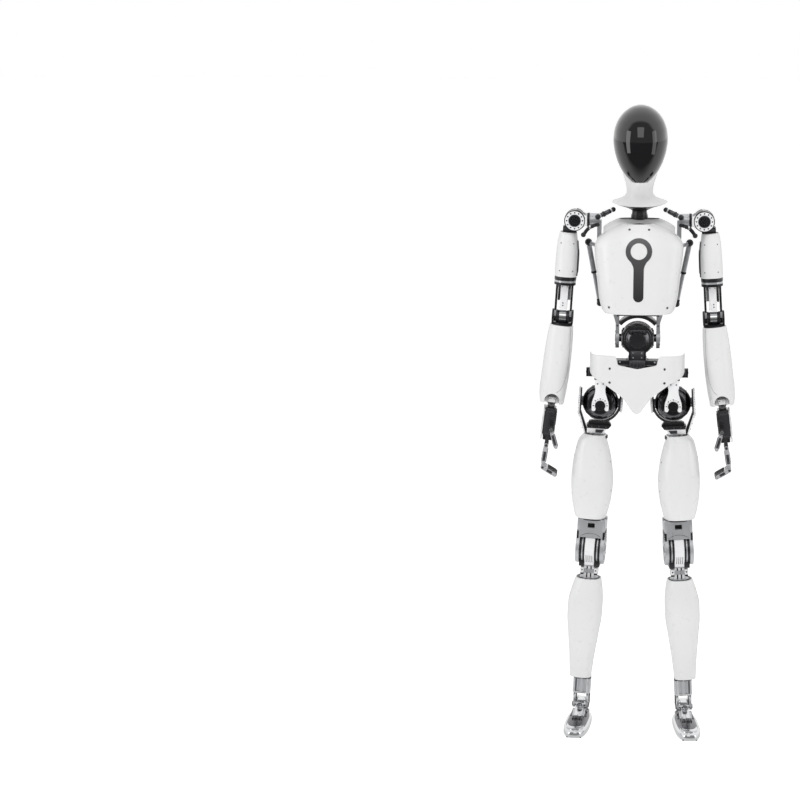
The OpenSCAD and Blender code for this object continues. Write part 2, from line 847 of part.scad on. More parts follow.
mirror([1, 0, 0]) forearm_shell();  // forearm_shell_r
mirror([1, 0, 0]) wrist_cross();  // wrist_cross_r
mirror([1, 0, 0]) palm();  // palm_r
mirror([1, 0, 0]) thumb_base();  // thumb_base_r
mirror([1, 0, 0]) thumb_tip();  // thumb_tip_r
mirror([1, 0, 0]) index_proximal();  // index_proximal_r
mirror([1, 0, 0]) index_distal();  // index_distal_r
mirror([1, 0, 0]) fingers_proximal();  // fingers_proximal_r
mirror([1, 0, 0]) fingers_distal();  // fingers_distal_r
mirror([1, 0, 0]) hip_cage();  // hip_cage_r
mirror([1, 0, 0]) hip_yoke();  // hip_yoke_r
mirror([1, 0, 0]) thigh_shell();  // thigh_shell_r
mirror([1, 0, 0]) knee_fork();  // knee_fork_r
mirror([1, 0, 0]) shin_frame();  // shin_frame_r
mirror([1, 0, 0]) shin_shell();  // shin_shell_r
mirror([1, 0, 0]) ankle_crank();  // ankle_crank_r
mirror([1, 0, 0]) ankle_rods();  // ankle_rods_r
mirror([1, 0, 0]) ankle_cross();  // ankle_cross_r
mirror([1, 0, 0]) foot();  // foot_r
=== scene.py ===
"""Looks of the humanoid robot kit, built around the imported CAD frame.

Local shapes are written in millimetres in the same local frames as the CAD part, then placed in metres.
"""
import json
import math

import bmesh
import bpy
from mathutils import Matrix, Vector


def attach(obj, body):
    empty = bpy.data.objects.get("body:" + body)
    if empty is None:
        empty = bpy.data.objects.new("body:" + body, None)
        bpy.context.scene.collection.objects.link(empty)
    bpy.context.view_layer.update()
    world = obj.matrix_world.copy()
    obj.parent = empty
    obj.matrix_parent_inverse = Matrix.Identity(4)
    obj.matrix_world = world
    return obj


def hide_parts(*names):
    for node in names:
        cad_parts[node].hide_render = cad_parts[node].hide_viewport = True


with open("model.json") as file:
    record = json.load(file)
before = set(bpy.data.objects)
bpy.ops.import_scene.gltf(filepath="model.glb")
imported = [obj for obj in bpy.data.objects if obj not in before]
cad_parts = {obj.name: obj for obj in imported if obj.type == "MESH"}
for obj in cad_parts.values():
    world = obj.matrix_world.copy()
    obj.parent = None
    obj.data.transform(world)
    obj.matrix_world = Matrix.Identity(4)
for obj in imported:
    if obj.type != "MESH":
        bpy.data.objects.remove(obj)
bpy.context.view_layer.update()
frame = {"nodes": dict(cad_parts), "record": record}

scene = bpy.context.scene
MM = 0.001

# ---------------------------------------------------------------- frames, the same as in the CAD part

AXIS_Y = 41
HIP = (92, 843.904)
SHOULDER = (162.6, 10, 1308.7)
ANKLE_DROP = 800
KNEE_DROP = 381
WRIST_DROP = 469
KNUCKLE_DROP = 581
ELBOW_DROP = 248


def move(x, y, z):
    return Matrix.Translation((x, y, z))


def turn(axis, degrees):
    return Matrix.Rotation(math.radians(degrees), 4, axis)


def collar_tilt():
    """The collar's frame, seen from the body frame."""
    return move(0, 0, 1356) @ turn("X", 7)


def local_frames():
    """The CAD's local frames for the robot's left side, in millimetres."""
    body = move(0, AXIS_Y, 0)
    hip = move(HIP[0], AXIS_Y, HIP[1]) @ turn("Y", -3)
    leg = hip @ turn("Z", 5)
    foot = move(HIP[0] + ANKLE_DROP * math.sin(math.radians(3)), AXIS_Y, 45) @ turn("Z", 5)
    shoulder = move(SHOULDER[0], AXIS_Y + SHOULDER[1], SHOULDER[2])
    upper = shoulder @ move(13, 0, 0) @ turn("Y", -3.6)
    arm = upper @ move(0, 0, -ELBOW_DROP) @ turn("Y", -3) @ move(0, 0, ELBOW_DROP)
    collar = body @ collar_tilt()
    return {
        "body": body, "hip": hip, "leg": leg, "foot": foot, "shoulder": shoulder,
        "upper": upper, "arm": arm, "collar": collar,
        "thumb": arm @ move(-8, -32, -508),
    }


FRAMES = local_frames()
MIRROR = Matrix.Diagonal((-1, 1, 1, 1))
METRES = Matrix.Diagonal((MM, MM, MM, 1))


def place(name, side="l", extra=None):
    local = FRAMES[name] if extra is None else FRAMES[name] @ extra
    return METRES @ (MIRROR @ local if side == "r" else local)


# ---------------------------------------------------------------- materials

def node_of(tree, kind, **values):
    node = tree.nodes.new(kind)
    for key, value in values.items():
        if key in node.inputs:
            node.inputs[key].default_value = value
        else:
            setattr(node, key, value)
    return node


def surface(name, colour, metallic=0.0, rough=(0.3, 0.4), tint=0.06, patch=9.0, grain=(700.0, 0.04),
            coat=0.0, coat_rough=0.05, stretch=(1, 1, 1), blotch=60.0, painted_shade=None, ior=1.5):
    """A finish with large and small variation of colour and roughness, a fine surface grain and, if given,
    painted shade that darkens the colour towards low height.
    """
    material = bpy.data.materials.new(name)
    material.use_nodes = True
    tree = material.node_tree
    tree.nodes.clear()
    out = node_of(tree, "ShaderNodeOutputMaterial")
    shader = node_of(tree, "ShaderNodeBsdfPrincipled", Metallic=metallic, IOR=ior)
    shader.inputs["Coat Weight"].default_value = coat
    shader.inputs["Coat Roughness"].default_value = coat_rough
    where = node_of(tree, "ShaderNodeTexCoord")
    shape = node_of(tree, "ShaderNodeMapping", Scale=stretch)
    tree.links.new(where.outputs["Object"], shape.inputs["Vector"])
    clouds = node_of(tree, "ShaderNodeTexNoise", Scale=patch, Detail=4.0, Roughness=0.55)
    spots = node_of(tree, "ShaderNodeTexNoise", Scale=blotch, Detail=6.0, Roughness=0.6)
    grains = node_of(tree, "ShaderNodeTexNoise", Scale=grain[0], Detail=3.0, Roughness=0.5)
    tree.links.new(where.outputs["Object"], clouds.inputs["Vector"])
    tree.links.new(shape.outputs["Vector"], spots.inputs["Vector"])
    tree.links.new(shape.outputs["Vector"], grains.inputs["Vector"])
    dark = tuple(c * (1 - tint) for c in colour)
    light = tuple(min(1.0, c * (1 + tint)) for c in colour)
    ramp = node_of(tree, "ShaderNodeValToRGB")
    ramp.color_ramp.elements[0].position = 0.3
    ramp.color_ramp.elements[0].color = (*dark, 1)
    ramp.color_ramp.elements[1].position = 0.7
    ramp.color_ramp.elements[1].color = (*light, 1)
    tree.links.new(clouds.outputs["Fac"], ramp.inputs["Fac"])
    colour_out = ramp.outputs["Color"]
    # painted shade: below the given height range the colour darkens to a fraction of itself
    if painted_shade:
        low, high, shade_gain = painted_shade
        split = node_of(tree, "ShaderNodeSeparateXYZ")
        tree.links.new(where.outputs["Object"], split.inputs["Vector"])
        rise = node_of(tree, "ShaderNodeMapRange")
        rise.inputs["From Min"].default_value = low
        rise.inputs["From Max"].default_value = high
        tree.links.new(split.outputs["Z"], rise.inputs["Value"])
        blend = node_of(tree, "ShaderNodeMix", data_type="RGBA")
        blend.inputs["A"].default_value = (*(c * shade_gain for c in colour), 1)
        tree.links.new(rise.outputs["Result"], blend.inputs["Factor"])
        tree.links.new(colour_out, blend.inputs["B"])
        colour_out = blend.outputs["Result"]
    tree.links.new(colour_out, shader.inputs["Base Color"])
    span = node_of(tree, "ShaderNodeMapRange")
    span.inputs["From Min"].default_value = 0.3
    span.inputs["From Max"].default_value = 0.7
    span.inputs["To Min"].default_value = rough[0]
    span.inputs["To Max"].default_value = rough[1]
    tree.links.new(spots.outputs["Fac"], span.inputs["Value"])
    tree.links.new(span.outputs["Result"], shader.inputs["Roughness"])
    bump = node_of(tree, "ShaderNodeBump", Strength=grain[1], Distance=0.0004)
    tree.links.new(grains.outputs["Fac"], bump.inputs["Height"])
    tree.links.new(bump.outputs["Normal"], shader.inputs["Normal"])
    tree.links.new(shader.outputs["BSDF"], out.inputs["Surface"])
    return material


WHITE = surface("white_gloss", (0.8, 0.8, 0.8), rough=(0.26, 0.34), tint=0.012, coat=0.5, grain=(420, 0.02))
PELVIS_WHITE = surface("white_pelvis", (0.79, 0.79, 0.79), rough=(0.3, 0.38), tint=0.012, coat=0.35,
                       grain=(420, 0.02))
COATED = surface("white_coated", (0.84, 0.84, 0.85), rough=(0.38, 0.5), tint=0.02, grain=(1500, 0.10))
VISOR = surface("visor_gloss", (0.004, 0.004, 0.005), rough=(0.02, 0.035), tint=0.1, coat=1.0,
                coat_rough=0.01, grain=(200, 0.002))
SATIN = surface("black_satin", (0.016, 0.016, 0.018), rough=(0.26, 0.38), coat=0.3, coat_rough=0.15,
                grain=(900, 0.05))
DRIVE = surface("dark_anodised", (0.05, 0.05, 0.054), metallic=0.85, rough=(0.24, 0.4), tint=0.25,
                grain=(1200, 0.08))
GUNMETAL = surface("dark_polished", (0.16, 0.16, 0.17), metallic=1.0, rough=(0.12, 0.26), tint=0.2,
                   grain=(900, 0.03), blotch=30)
ALLOY = surface("light_alloy", (0.62, 0.63, 0.65), metallic=0.6, rough=(0.24, 0.4), tint=0.06,
                stretch=(1, 1, 0.05), grain=(1600, 0.12))
CHROME = surface("polished_metal", (0.78, 0.79, 0.8), metallic=1.0, rough=(0.05, 0.14), tint=0.05,
                 grain=(500, 0.01), blotch=25)
SILVER = surface("silver_coat", (0.66, 0.66, 0.68), metallic=0.45, rough=(0.2, 0.32), tint=0.05, coat=0.4,
                 grain=(1300, 0.04))
STEEL = surface("dark_steel", (0.2, 0.2, 0.215), metallic=1.0, rough=(0.26, 0.42), tint=0.12,
                stretch=(1, 1, 0.05), grain=(1500, 0.1))
MOULDED = surface("dark_moulded", (0.03, 0.03, 0.033), rough=(0.45, 0.6), grain=(1800, 0.2))
# painted shade: the keyhole inlay is darkened towards its bottom
INLAY = surface("keyhole_inlay", (0.135, 0.135, 0.14), metallic=0.35, rough=(0.3, 0.42), tint=0.04,
                grain=(1500, 0.06), painted_shade=(1.10, 1.27, 0.22))
# painted shade: near-black finish drawn into holes, recesses, slits and gaps where shade falls
SHADE_GAP = surface("shadow_gap", (0.004, 0.004, 0.004), rough=(0.7, 0.9), grain=(600, 0.1))
RUBBER = surface("sole_rubber", (0.02, 0.02, 0.021), rough=(0.7, 0.85), grain=(1400, 0.3))

SLOT_FINISH = {
    "white_shell": WHITE, "visor_black": VISOR, "black_shell": SATIN, "dark_drive": DRIVE,
    "light_frame": ALLOY, "polished": CHROME, "white_metal": COATED, "dark_plastic": MOULDED,
    "steel_link": STEEL,
}

# ---------------------------------------------------------------- ring lofts

def lerp(a, b, t):
    return a + (b - a) * t


def smooth_columns(rows):
    """A monotone smooth curve through every column of rows, by the first column."""
    rows = [tuple(map(float, r)) for r in rows]
    zs = [r[0] for r in rows]
    last = len(rows) - 1
    tables = []
    for c in range(1, len(rows[0])):
        v = [r[c] for r in rows]
        step = [(v[i + 1] - v[i]) / (zs[i + 1] - zs[i]) for i in range(last)]
        slope = [step[0]] + [0.0] * (last - 1) + [step[-1]]
        for i in range(1, last):
            if step[i - 1] * step[i] > 0:
                h0, h1 = zs[i] - zs[i - 1], zs[i + 1] - zs[i]
                w0, w1 = 2 * h1 + h0, h1 + 2 * h0
                slope[i] = (w0 + w1) / (w0 / step[i - 1] + w1 / step[i])
        tables.append((v, slope))

    def at(z):
        i = max(0, min(last - 1, next((k for k in range(last) if z <= zs[k + 1]), last - 1)))
        h = zs[i + 1] - zs[i]
        t = (z - zs[i]) / h
        out = []
        for v, slope in tables:
            out.append(
                v[i] * (2 * t**3 - 3 * t**2 + 1) + slope[i] * h * (t**3 - 2 * t**2 + t)
                + v[i + 1] * (3 * t**2 - 2 * t**3) + slope[i + 1] * h * (t**3 - t**2)
            )
        return out

    return at


def power(v, e):
    return math.copysign(abs(v) ** (2 / e), v)


def ring_point(values, z, angle, inset=0.0):
    cx, cy, rx, ry, e = values
    a = math.radians(angle)
    return Vector((cx + (rx - inset) * power(math.cos(a), e), cy + (ry - inset) * power(math.sin(a), e), z))


def half_point(values, z, angle, inset=0.0):
    """A point of a half shell: half width, edge y, depth, roundness."""
    rx, edge, depth, e = values
    a = math.radians(angle)
    return Vector(((rx - inset) * power(math.cos(a), e), edge + (depth - inset) * power(math.sin(a), e), z))


def levels(z0, z1, rows, rim, grooves=()):
    """(z, inset) pairs from z0 to z1 with rounded ends and with grooves cut in."""
    out = [(z0, rim), (z0 + rim * 0.3, rim * 0.3), (z0 + rim, 0.0)]
    out += [(lerp(z0 + rim, z1 - rim, k / rows), 0.0) for k in range(1, rows)]
    out += [(z1 - rim, 0.0), (z1 - rim * 0.3, rim * 0.3), (z1, rim)]
    for g, half, depth in grooves:
        out = [p for p in out if abs(p[0] - g) > half * 1.9]
        out += [(g - half * 1.6, 0.0), (g - half, depth), (g + half, depth), (g + half * 1.6, 0.0)]
    return sorted(out)


def seam_angles(count, seams=()):
    """(angle, inset) pairs round a ring with narrow upright seams cut in."""
    out = [(360 * k / count, 0.0) for k in range(count)]
    for s, half, depth in seams:
        out = [p for p in out if abs((p[0] - s + 180) % 360 - 180) > half * 1.9]
        for shift, cut in ((-1.6, 0.0), (-1, depth), (1, depth), (1.6, 0.0)):
            out.append(((s + shift * half) % 360, cut))
    return sorted(out)


def shell_loops(rings, thick, rows=64, around=96, rim=1.0, grooves=(), seams=()):
    """Closed run of loops: up the outside and down the inside."""
    at = smooth_columns(rings)
    z0, z1 = rings[0][0], rings[-1][0]
    angles = seam_angles(around, seams)
    outer = [
        [ring_point(at(z), z, a, inset + cut) for a, cut in angles]
        for z, inset in levels(z0, z1, rows, rim, grooves)
    ]
    inner = [
        [ring_point(at(z), z, a, thick) for a, _ in angles]
        for z in (lerp(z1, z0, k / 12) for k in range(13))
    ]
    return outer + inner


# ---------------------------------------------------------------- piece builder

class Piece:
    """Collects closed parts with their finishes into one object that rides on one CAD body."""

    def __init__(self, name, body, slot, matrix, smooth=35):
        self.name, self.body, self.slot, self.matrix, self.smooth = name, body, slot, matrix, smooth
        self.bm = bmesh.new()
        self.finishes = []

    def join(self, part, finish, matrix=None, fix=True):
        """Adds a temporary bmesh in local millimetres."""
        if finish not in self.finishes:
            self.finishes.append(finish)
        full = self.matrix if matrix is None else self.matrix @ matrix
        if fix:
            bmesh.ops.recalc_face_normals(part, faces=part.faces)
        bmesh.ops.transform(part, matrix=full, verts=part.verts)
        if full.determinant() < 0:
            bmesh.ops.reverse_faces(part, faces=part.faces)
        index = self.finishes.index(finish)
        for face in part.faces:
            face.material_index = index
            face.smooth = True
        mesh = bpy.data.meshes.new("part")
        part.to_mesh(mesh)
        part.free()
        self.bm.from_mesh(mesh)
        bpy.data.meshes.remove(mesh)

    def loops(self, loops, finish, closed=False, cut=None, matrix=None):
        """Skins equal loops; closed joins the last loop to the first, otherwise both ends are capped."""
        part = bmesh.new()
        rows = [[part.verts.new(p) for p in loop] for loop in loops]
        n = len(rows[0])
        pairs = list(zip(rows, rows[1:])) + ([(rows[-1], rows[0])] if closed else [])
        for low, high in pairs:
            for i in range(n):
                j = (i + 1) % n
                part.faces.new((low[i], low[j], high[j], high[i]))
        if not closed:
            part.faces.new(rows[0][::-1])
            part.faces.new(rows[-1])
        if cut:
            cut(part)
        self.join(part, finish, matrix)

    def lathe(self, profile, finish, axis="z", at=(0, 0, 0), count=48, matrix=None):
        """Turns (radius, height) pairs round an axis through at. A radius of 0 ends it on the axis."""
        part = bmesh.new()
        rows = []
        for r, h in profile:
            if r <= 0:
                rows.append([part.verts.new((0, 0, h))])
                continue
            rows.append([
                part.verts.new((r * math.cos(2 * math.pi * k / count),
                        r * math.sin(2 * math.pi * k / count), h))
                for k in range(count)
            ])
        ends_on_axis = profile[0][0] <= 0 and profile[-1][0] <= 0
        pairs = list(zip(rows, rows[1:])) + ([] if ends_on_axis else [(rows[-1], rows[0])])
        for low, high in pairs:
            for i in range(count):
                j = (i + 1) % count
                if len(low) == 1:
                    part.faces.new((low[0], high[j], high[i]))
                elif len(high) == 1:
                    part.faces.new((low[i], low[j], high[0]))
                else:
                    part.faces.new((low[i], low[j], high[j], high[i]))
        aim = {"z": Matrix.Identity(4), "x": turn("Y", 90), "y": turn("X", -90), "-y": turn("X", 90),
               "-x": turn("Y", -90), "-z": turn("X", 180)}[axis]
        shift = move(*at) @ aim
        self.join(part, finish, shift if matrix is None else matrix @ shift)

    def disc(self, r0, r1, h0, h1, finish, axis="z", at=(0, 0, 0), edge=0.4, count=48, matrix=None):
        """A drum or ring from radius r0 to r1 with softened edges."""
        e = min(edge, (h1 - h0) * 0.45, (r1 - r0) * 0.45)
        profile = [(r1 - e, h0), (r1, h0 + e), (r1, h1 - e), (r1 - e, h1)]
        if r0 > 0:
            profile += [(r0 + e, h1), (r0, h1 - e), (r0, h0 + e), (r0 + e, h0)]
        else:
            profile = [(0, h0)] + profile + [(0, h1)]
        self.lathe(profile, finish, axis, at, count, matrix)

    def rod(self, a, b, r, finish, count=24, edge=0.5, matrix=None):
        a, b = Vector(a), Vector(b)
        aim = (b - a).to_track_quat("Z", "Y").to_matrix().to_4x4()
        own = Matrix.Translation(a) @ aim
        self.disc(0, r, 0, (b - a).length, finish, edge=edge, count=count,
                  matrix=own if matrix is None else matrix @ own)

    def ball(self, at, r, finish, count=32, matrix=None):
        rows = count // 2
        profile = [(r * math.sin(math.pi * k / rows),
                -r * math.cos(math.pi * k / rows)) for k in range(rows + 1)]
        profile[0], profile[-1] = (0, -r), (0, r)
        self.lathe(profile, finish, "z", at, count, matrix)

    def block(self, low, high, finish, edge=0.6, steps=2, matrix=None, taper=None):
        """A box with rounded edges. taper scales the lower end in x and y about its own middle."""
        part = bmesh.new()
        bmesh.ops.create_cube(part, size=1)
        for v in part.verts:
            t = (v.co.x + 0.5, v.co.y + 0.5, v.co.z + 0.5)
            v.co = Vector([lerp(low[k], high[k], t[k]) for k in range(3)])
            if taper and t[2] < 0.5:
                for k in (0, 1):
                    middle = (low[k] + high[k]) / 2
                    v.co[k] = middle + (v.co[k] - middle) * taper[k]
        if edge:
            bmesh.ops.bevel(part, geom=part.edges[:], offset=edge, segments=steps, affect="EDGES",
                    profile=0.5)
        self.join(part, finish, matrix)

    def plate(self, outline, low, high, finish, holes=(), plane="xz", edge=0.5, matrix=None):
        """An extruded outline with holes. plane xz extrudes along y, yz along x and xy along z."""
        part = bmesh.new()
        rims = []
        for path in [outline] + [ring_path(*h) for h in holes]:
            verts = [part.verts.new((u, v, 0)) for u, v in path]
            rims += [part.edges.new((verts[k], verts[(k + 1) % len(verts)])) for k in range(len(verts))]
        bmesh.ops.triangle_fill(part, use_beauty=True, use_dissolve=False, edges=rims)
        bmesh.ops.recalc_face_normals(part, faces=part.faces)
        grown = bmesh.ops.extrude_face_region(part, geom=part.faces[:])
        lifted = [g for g in grown["geom"] if isinstance(g, bmesh.types.BMVert)]
        bmesh.ops.translate(part, verts=lifted, vec=(0, 0, 1))
        for v in part.verts:
            u, w, t = v.co.x, v.co.y, lerp(low, high, v.co.z)
            v.co = {"xz": Vector((u, t, w)), "yz": Vector((t, u, w)), "xy": Vector((u, w, t))}[plane]
        bmesh.ops.recalc_face_normals(part, faces=part.faces)
        if edge:
            part.normal_update()
            sharp = [e for e in part.edges if len(e.link_faces) == 2
                     and e.calc_face_angle(0) > math.radians(60)]
            bmesh.ops.bevel(part, geom=sharp, offset=edge, segments=2, affect="EDGES", profile=0.5,
                            clamp_overlap=True)
        self.join(part, finish, matrix)

    def screw(self, at, r, finish, axis="-y", height=0.9, matrix=None):
        """A small socket screw: rim, head and a sunk socket."""
        self.lathe([(0, -0.6), (r, -0.6), (r, height * 0.7), (r * 0.86, height), (r * 0.5, height),
                    (r * 0.42, height * 0.15), (0, height * 0.1)], finish, axis, at, 20, matrix)

    def dot(self, at, r, axis="-y", lift=0.12, finish=None, matrix=None):
        """A sunk hole drawn as painted shade: a thin dark plug flush with its surface."""
        self.disc(0, r, -0.8, lift, finish or SHADE_GAP, axis, at, 0.05, 20, matrix)

    def ribbon(self, points, normals, width, finish, lift=0.08, sink=0.4, matrix=None):
        """A thin closed strip along points on a surface."""
        part = bmesh.new()
        rows = []
        last = len(points) - 1
        for k, (p, n) in enumerate(zip(points, normals)):
            run = (points[min(last, k + 1)] - points[max(0, k - 1)]).normalized()
            across = run.cross(n).normalized() * width / 2
            rows.append([part.verts.new(p + s * across + n * h) for s, h in ((-1, lift), (1, lift), (1,
                    -sink), (-1, -sink))])
        for low, high in zip(rows, rows[1:]):
            for i in range(4):
                j = (i + 1) % 4
                part.faces.new((low[i], low[j], high[j], high[i]))
        part.faces.new(rows[0])
        part.faces.new(rows[-1])
        self.join(part, finish, matrix)

    def done(self, *replaced):
        mesh = bpy.data.meshes.new(self.name)
        self.bm.to_mesh(mesh)
        self.bm.free()
        for finish in self.finishes:
            mesh.materials.append(finish)
        mesh.set_sharp_from_angle(angle=math.radians(self.smooth))
        piece = bpy.data.objects.new(self.name, mesh)
        scene.collection.objects.link(piece)
        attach(piece, self.body)
        if replaced:
            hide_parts(*replaced)
        return piece


def ring_path(u, v, r, count=20):
    return [(u + r * math.cos(2 * math.pi * k / count),
            v + r * math.sin(2 * math.pi * k / count)) for k in range(count)]


def arc_points(u, v, r, a0, a1, count=16):
    return [(u + r * math.cos(math.radians(lerp(a0, a1, k / count))),
             v + r * math.sin(math.radians(lerp(a0, a1, k / count)))) for k in range(count + 1)]


def on_shell(rings, path, steps=40):
    """Points and normals on a loft along a path of (z, angle) pairs."""
    at = smooth_columns(rings)
    spots = []
    for (z0, a0), (z1, a1) in zip(path, path[1:]):
        spots += [(lerp(z0, z1, k / steps), lerp(a0, a1, k / steps)) for k in range(steps)]
    spots.append(path[-1])
    points, normals = [], []
    for z, a in spots:
        p = ring_point(at(z), z, a)
        du = ring_point(at(z), z, a + 1) - ring_point(at(z), z, a - 1)
        dz = ring_point(at(z + 0.5), z + 0.5, a) - ring_point(at(z - 0.5), z - 0.5, a)
        points.append(p)
        normals.append(du.cross(dz).normalized())
    return points, normals

# ---------------------------------------- ring tables of the shells, as in the CAD part

THIGH = [(-300, 6, 0, 39, 40, 2.5), (-285, 6.5, 0, 43, 44, 2.5), (-250, 7, 0, 50, 49, 2.5),
         (-204, 8, 0, 53.5, 52, 2.5), (-160, 10, 0, 50, 49, 2.5), (-120, 12, 0, 42.5, 42, 2.5),
         (-98, 13, 0, 36, 38, 2.5), (-83, 8, 0, 29, 31, 2.5)]
SHIN = [(-723, 5, -3, 27.5, 24, 2.5), (-670, 5, -2, 32, 28.5, 2.5), (-610, 5, 0, 39, 37, 2.5),
        (-555, 5, 3, 44.5, 43, 2.5), (-525, 5, 3, 44.5, 44, 2.5), (-490, 3, 1, 40, 40, 2.5),
        (-459, 1, 0, 32.7, 34, 2.5)]
UPPER_ARM = [(-144, 0, 0, 27.5, 33, 2.4), (-125, 0, 0, 28.5, 35, 2.4), (-90, 0, 0, 28, 34, 2.4),
             (-50, 1, 0, 25, 31, 2.4), (-31, 1, 0, 22, 27, 2.4)]
FOREARM = [(-471, 0, 0, 31, 38, 2.4), (-455, 1, 0, 33, 42, 2.4), (-430, 1, 2, 35, 47, 2.4),
           (-391, 0, 3, 35.5, 50, 2.4), (-345, 0, 2, 35, 46, 2.4), (-300, 0, 0, 33, 38, 2.4),
           (-269, 0, 0, 30, 31, 2.4)]
HEAD = [(1409, 0, -28, 24, 42, 2.1), (1422, 0, -27, 36, 53, 2.1), (1440, 0, -25, 48, 64, 2.1),
        (1465, 0, -23, 59, 74, 2.1), (1490, 0, -21.5, 65.5, 79.5, 2.1), (1512, 0, -21, 68, 81, 2.1),
        (1535, 0, -20, 66.5, 78, 2.1), (1557, 0, -18, 60, 70, 2.1), (1575, 0, -15, 49, 58, 2.1),
        (1589, 0, -12, 34, 41, 2.1), (1597, 0, -10, 19, 23, 2.1), (1600, 0, -9, 7, 8, 2.1)]
COLLAR = [(0, 0, 0, 70, 66, 2), (6, 0, 0, 55, 52, 2), (14, 0, 0, 40, 39, 2), (26, 0, 0, 33, 33, 2),
          (44, 0, 0, 35, 36, 2), (62, 0, -3, 40, 42, 2)]
DISH = [(-20, 0, 0, 21, 21, 2), (-12, 0, 0, 37, 35, 2), (-3, 0, 0, 62, 58, 2), (-0.5, 0, 0, 68, 64, 2)]
SHOULDER_CAP = [(1250, 0, 0, 96, 26, 2.6), (1272, 0, 4, 100, 34, 2.6), (1290, 0, 6, 92, 36, 2.6),
                (1304, 0, 8, 74, 32, 2.6), (1313, 0, 10, 54, 25, 2.6)]
FOOT = [(0, 0, -61, 30, 101, 3), (6, 0, -61, 32.5, 104, 3), (16, 0, -61, 31.5, 101, 3),
        (23, 0, -50, 29, 84, 2.8), (27, 0, -30, 26, 60, 2.6), (30, 0, -14, 21, 42, 2.4)]
CHEST = [(1079, 84, -36, 52, 2.6), (1088, 91, -34, 56, 2.6), (1135, 101, -33, 59, 2.6),
         (1185, 106, -33, 60, 2.6), (1220, 110, -33, 60, 2.6), (1245, 111.4, -32, 60, 2.6),
         (1260, 108, -31, 58, 2.6), (1271, 100.6, -30, 56, 2.6), (1284, 83, -29, 52, 2.5),
         (1296, 59, -28, 46, 2.3), (1305, 36, -27, 42, 2.2)]
BACK = [(1088, 74, -14, 70, 2.6), (1110, 84, -17, 76, 2.6), (1180, 94, -18, 96, 2.6),
        (1230, 96, -16, 100, 2.6), (1262, 90, -14, 92, 2.6), (1285, 70, -12, 74, 2.4)]
PELVIS = [(818, 112, 25, 88, 4.6), (870, 117, 25, 95, 4.8), (925, 120, 25, 100, 5), (976, 120, 25, 100, 5)]
PELVIS_OUTLINE = [(121, 974), (54, 973), (49, 950), (0, 940), (-49, 950), (-54, 973), (-121, 974),
                  (-121, 929), (-117, 928), (-78, 898), (-37, 867), (-10, 828), (0, 822), (10, 828),
                  (37, 867), (78, 898), (117, 928), (121, 929)]
WALL = 3


def solid_loops(rings, rows=48, around=96, inset=0.0, rim=0.0):
    at = smooth_columns(rings)
    z0, z1 = rings[0][0], rings[-1][0]
    spots = levels(z0, z1, rows, rim) if rim else [(lerp(z0, z1, k / rows), 0.0) for k in range(rows + 1)]
    return [[ring_point(at(z), z, 360 * k / around, inset + cut) for k in range(around)] for z,
            cut in spots]


def half_angles(front, count):
    start = 180 if front else 0
    return [start + 180 * k / count for k in range(count + 1)]


def half_loops(rings, thick, front, rows=56, count=72, rim=0.9, grooves=()):
    """Loops of an open half shell: out along the outside, back along the inside."""
    at = smooth_columns(rings)
    loops = []
    for z, cut in levels(rings[0][0], rings[-1][0], rows, rim, grooves):
        values = at(z)
        angles = half_angles(front, count)
        outer = [half_point(values, z, a, cut) for a in angles]
        inner = [half_point(values, z, a,
                thick - (cut if abs(z - rings[0][0]) < 2 else 0)) for a in angles[::-1]]
        loops.append(outer + inner)
    return loops


# ---------------------------------------------------------------- head and neck

VISOR_TILT = math.radians(-19.5)
VISOR_NORMAL = Vector((0, math.cos(VISOR_TILT), math.sin(VISOR_TILT)))
VISOR_POINT = Vector((0, -56, 1412))


def head_skin(piece, finish, offset, front):
    """One side of the double-walled head, cut by the tilted visor plane."""
    part = bmesh.new()
    for inset in (0.0, 3.5):
        rings = HEAD if inset == 0 else HEAD[:-1]
        spots = [(r[0]) for r in rings]
        at = smooth_columns(HEAD)
        steps = 72
        zs = [lerp(spots[0], spots[-1], math.sin(math.pi / 2 * k / steps)) for k in range(steps + 1)]
        rows = [[part.verts.new(ring_point(at(z), z, 360 * k / 128,
                inset)) for k in range(128)] for z in zs]
        for low, high in zip(rows, rows[1:]):
            for i in range(128):
                j = (i + 1) % 128
                part.faces.new((low[i], low[j], high[j], high[i]))
        part.faces.new(rows[0][::-1])
        part.faces.new(rows[-1])
    geom = part.verts[:] + part.edges[:] + part.faces[:]
    bmesh.ops.bisect_plane(part, geom=geom, dist=0.001, plane_co=VISOR_POINT + VISOR_NORMAL * offset,
                           plane_no=VISOR_NORMAL, clear_outer=front, clear_inner=not front)
    rim = [e for e in part.edges if e.is_boundary]
    bmesh.ops.bridge_loops(part, edges=rim)
    part.normal_update()
    sharp = [e for e in part.edges if len(e.link_faces) == 2 and e.calc_face_angle(0) > math.radians(50)]
    bmesh.ops.bevel(part, geom=sharp, offset=0.7, segments=3, affect="EDGES", profile=0.5,
            clamp_overlap=True)
    piece.join(part, finish)


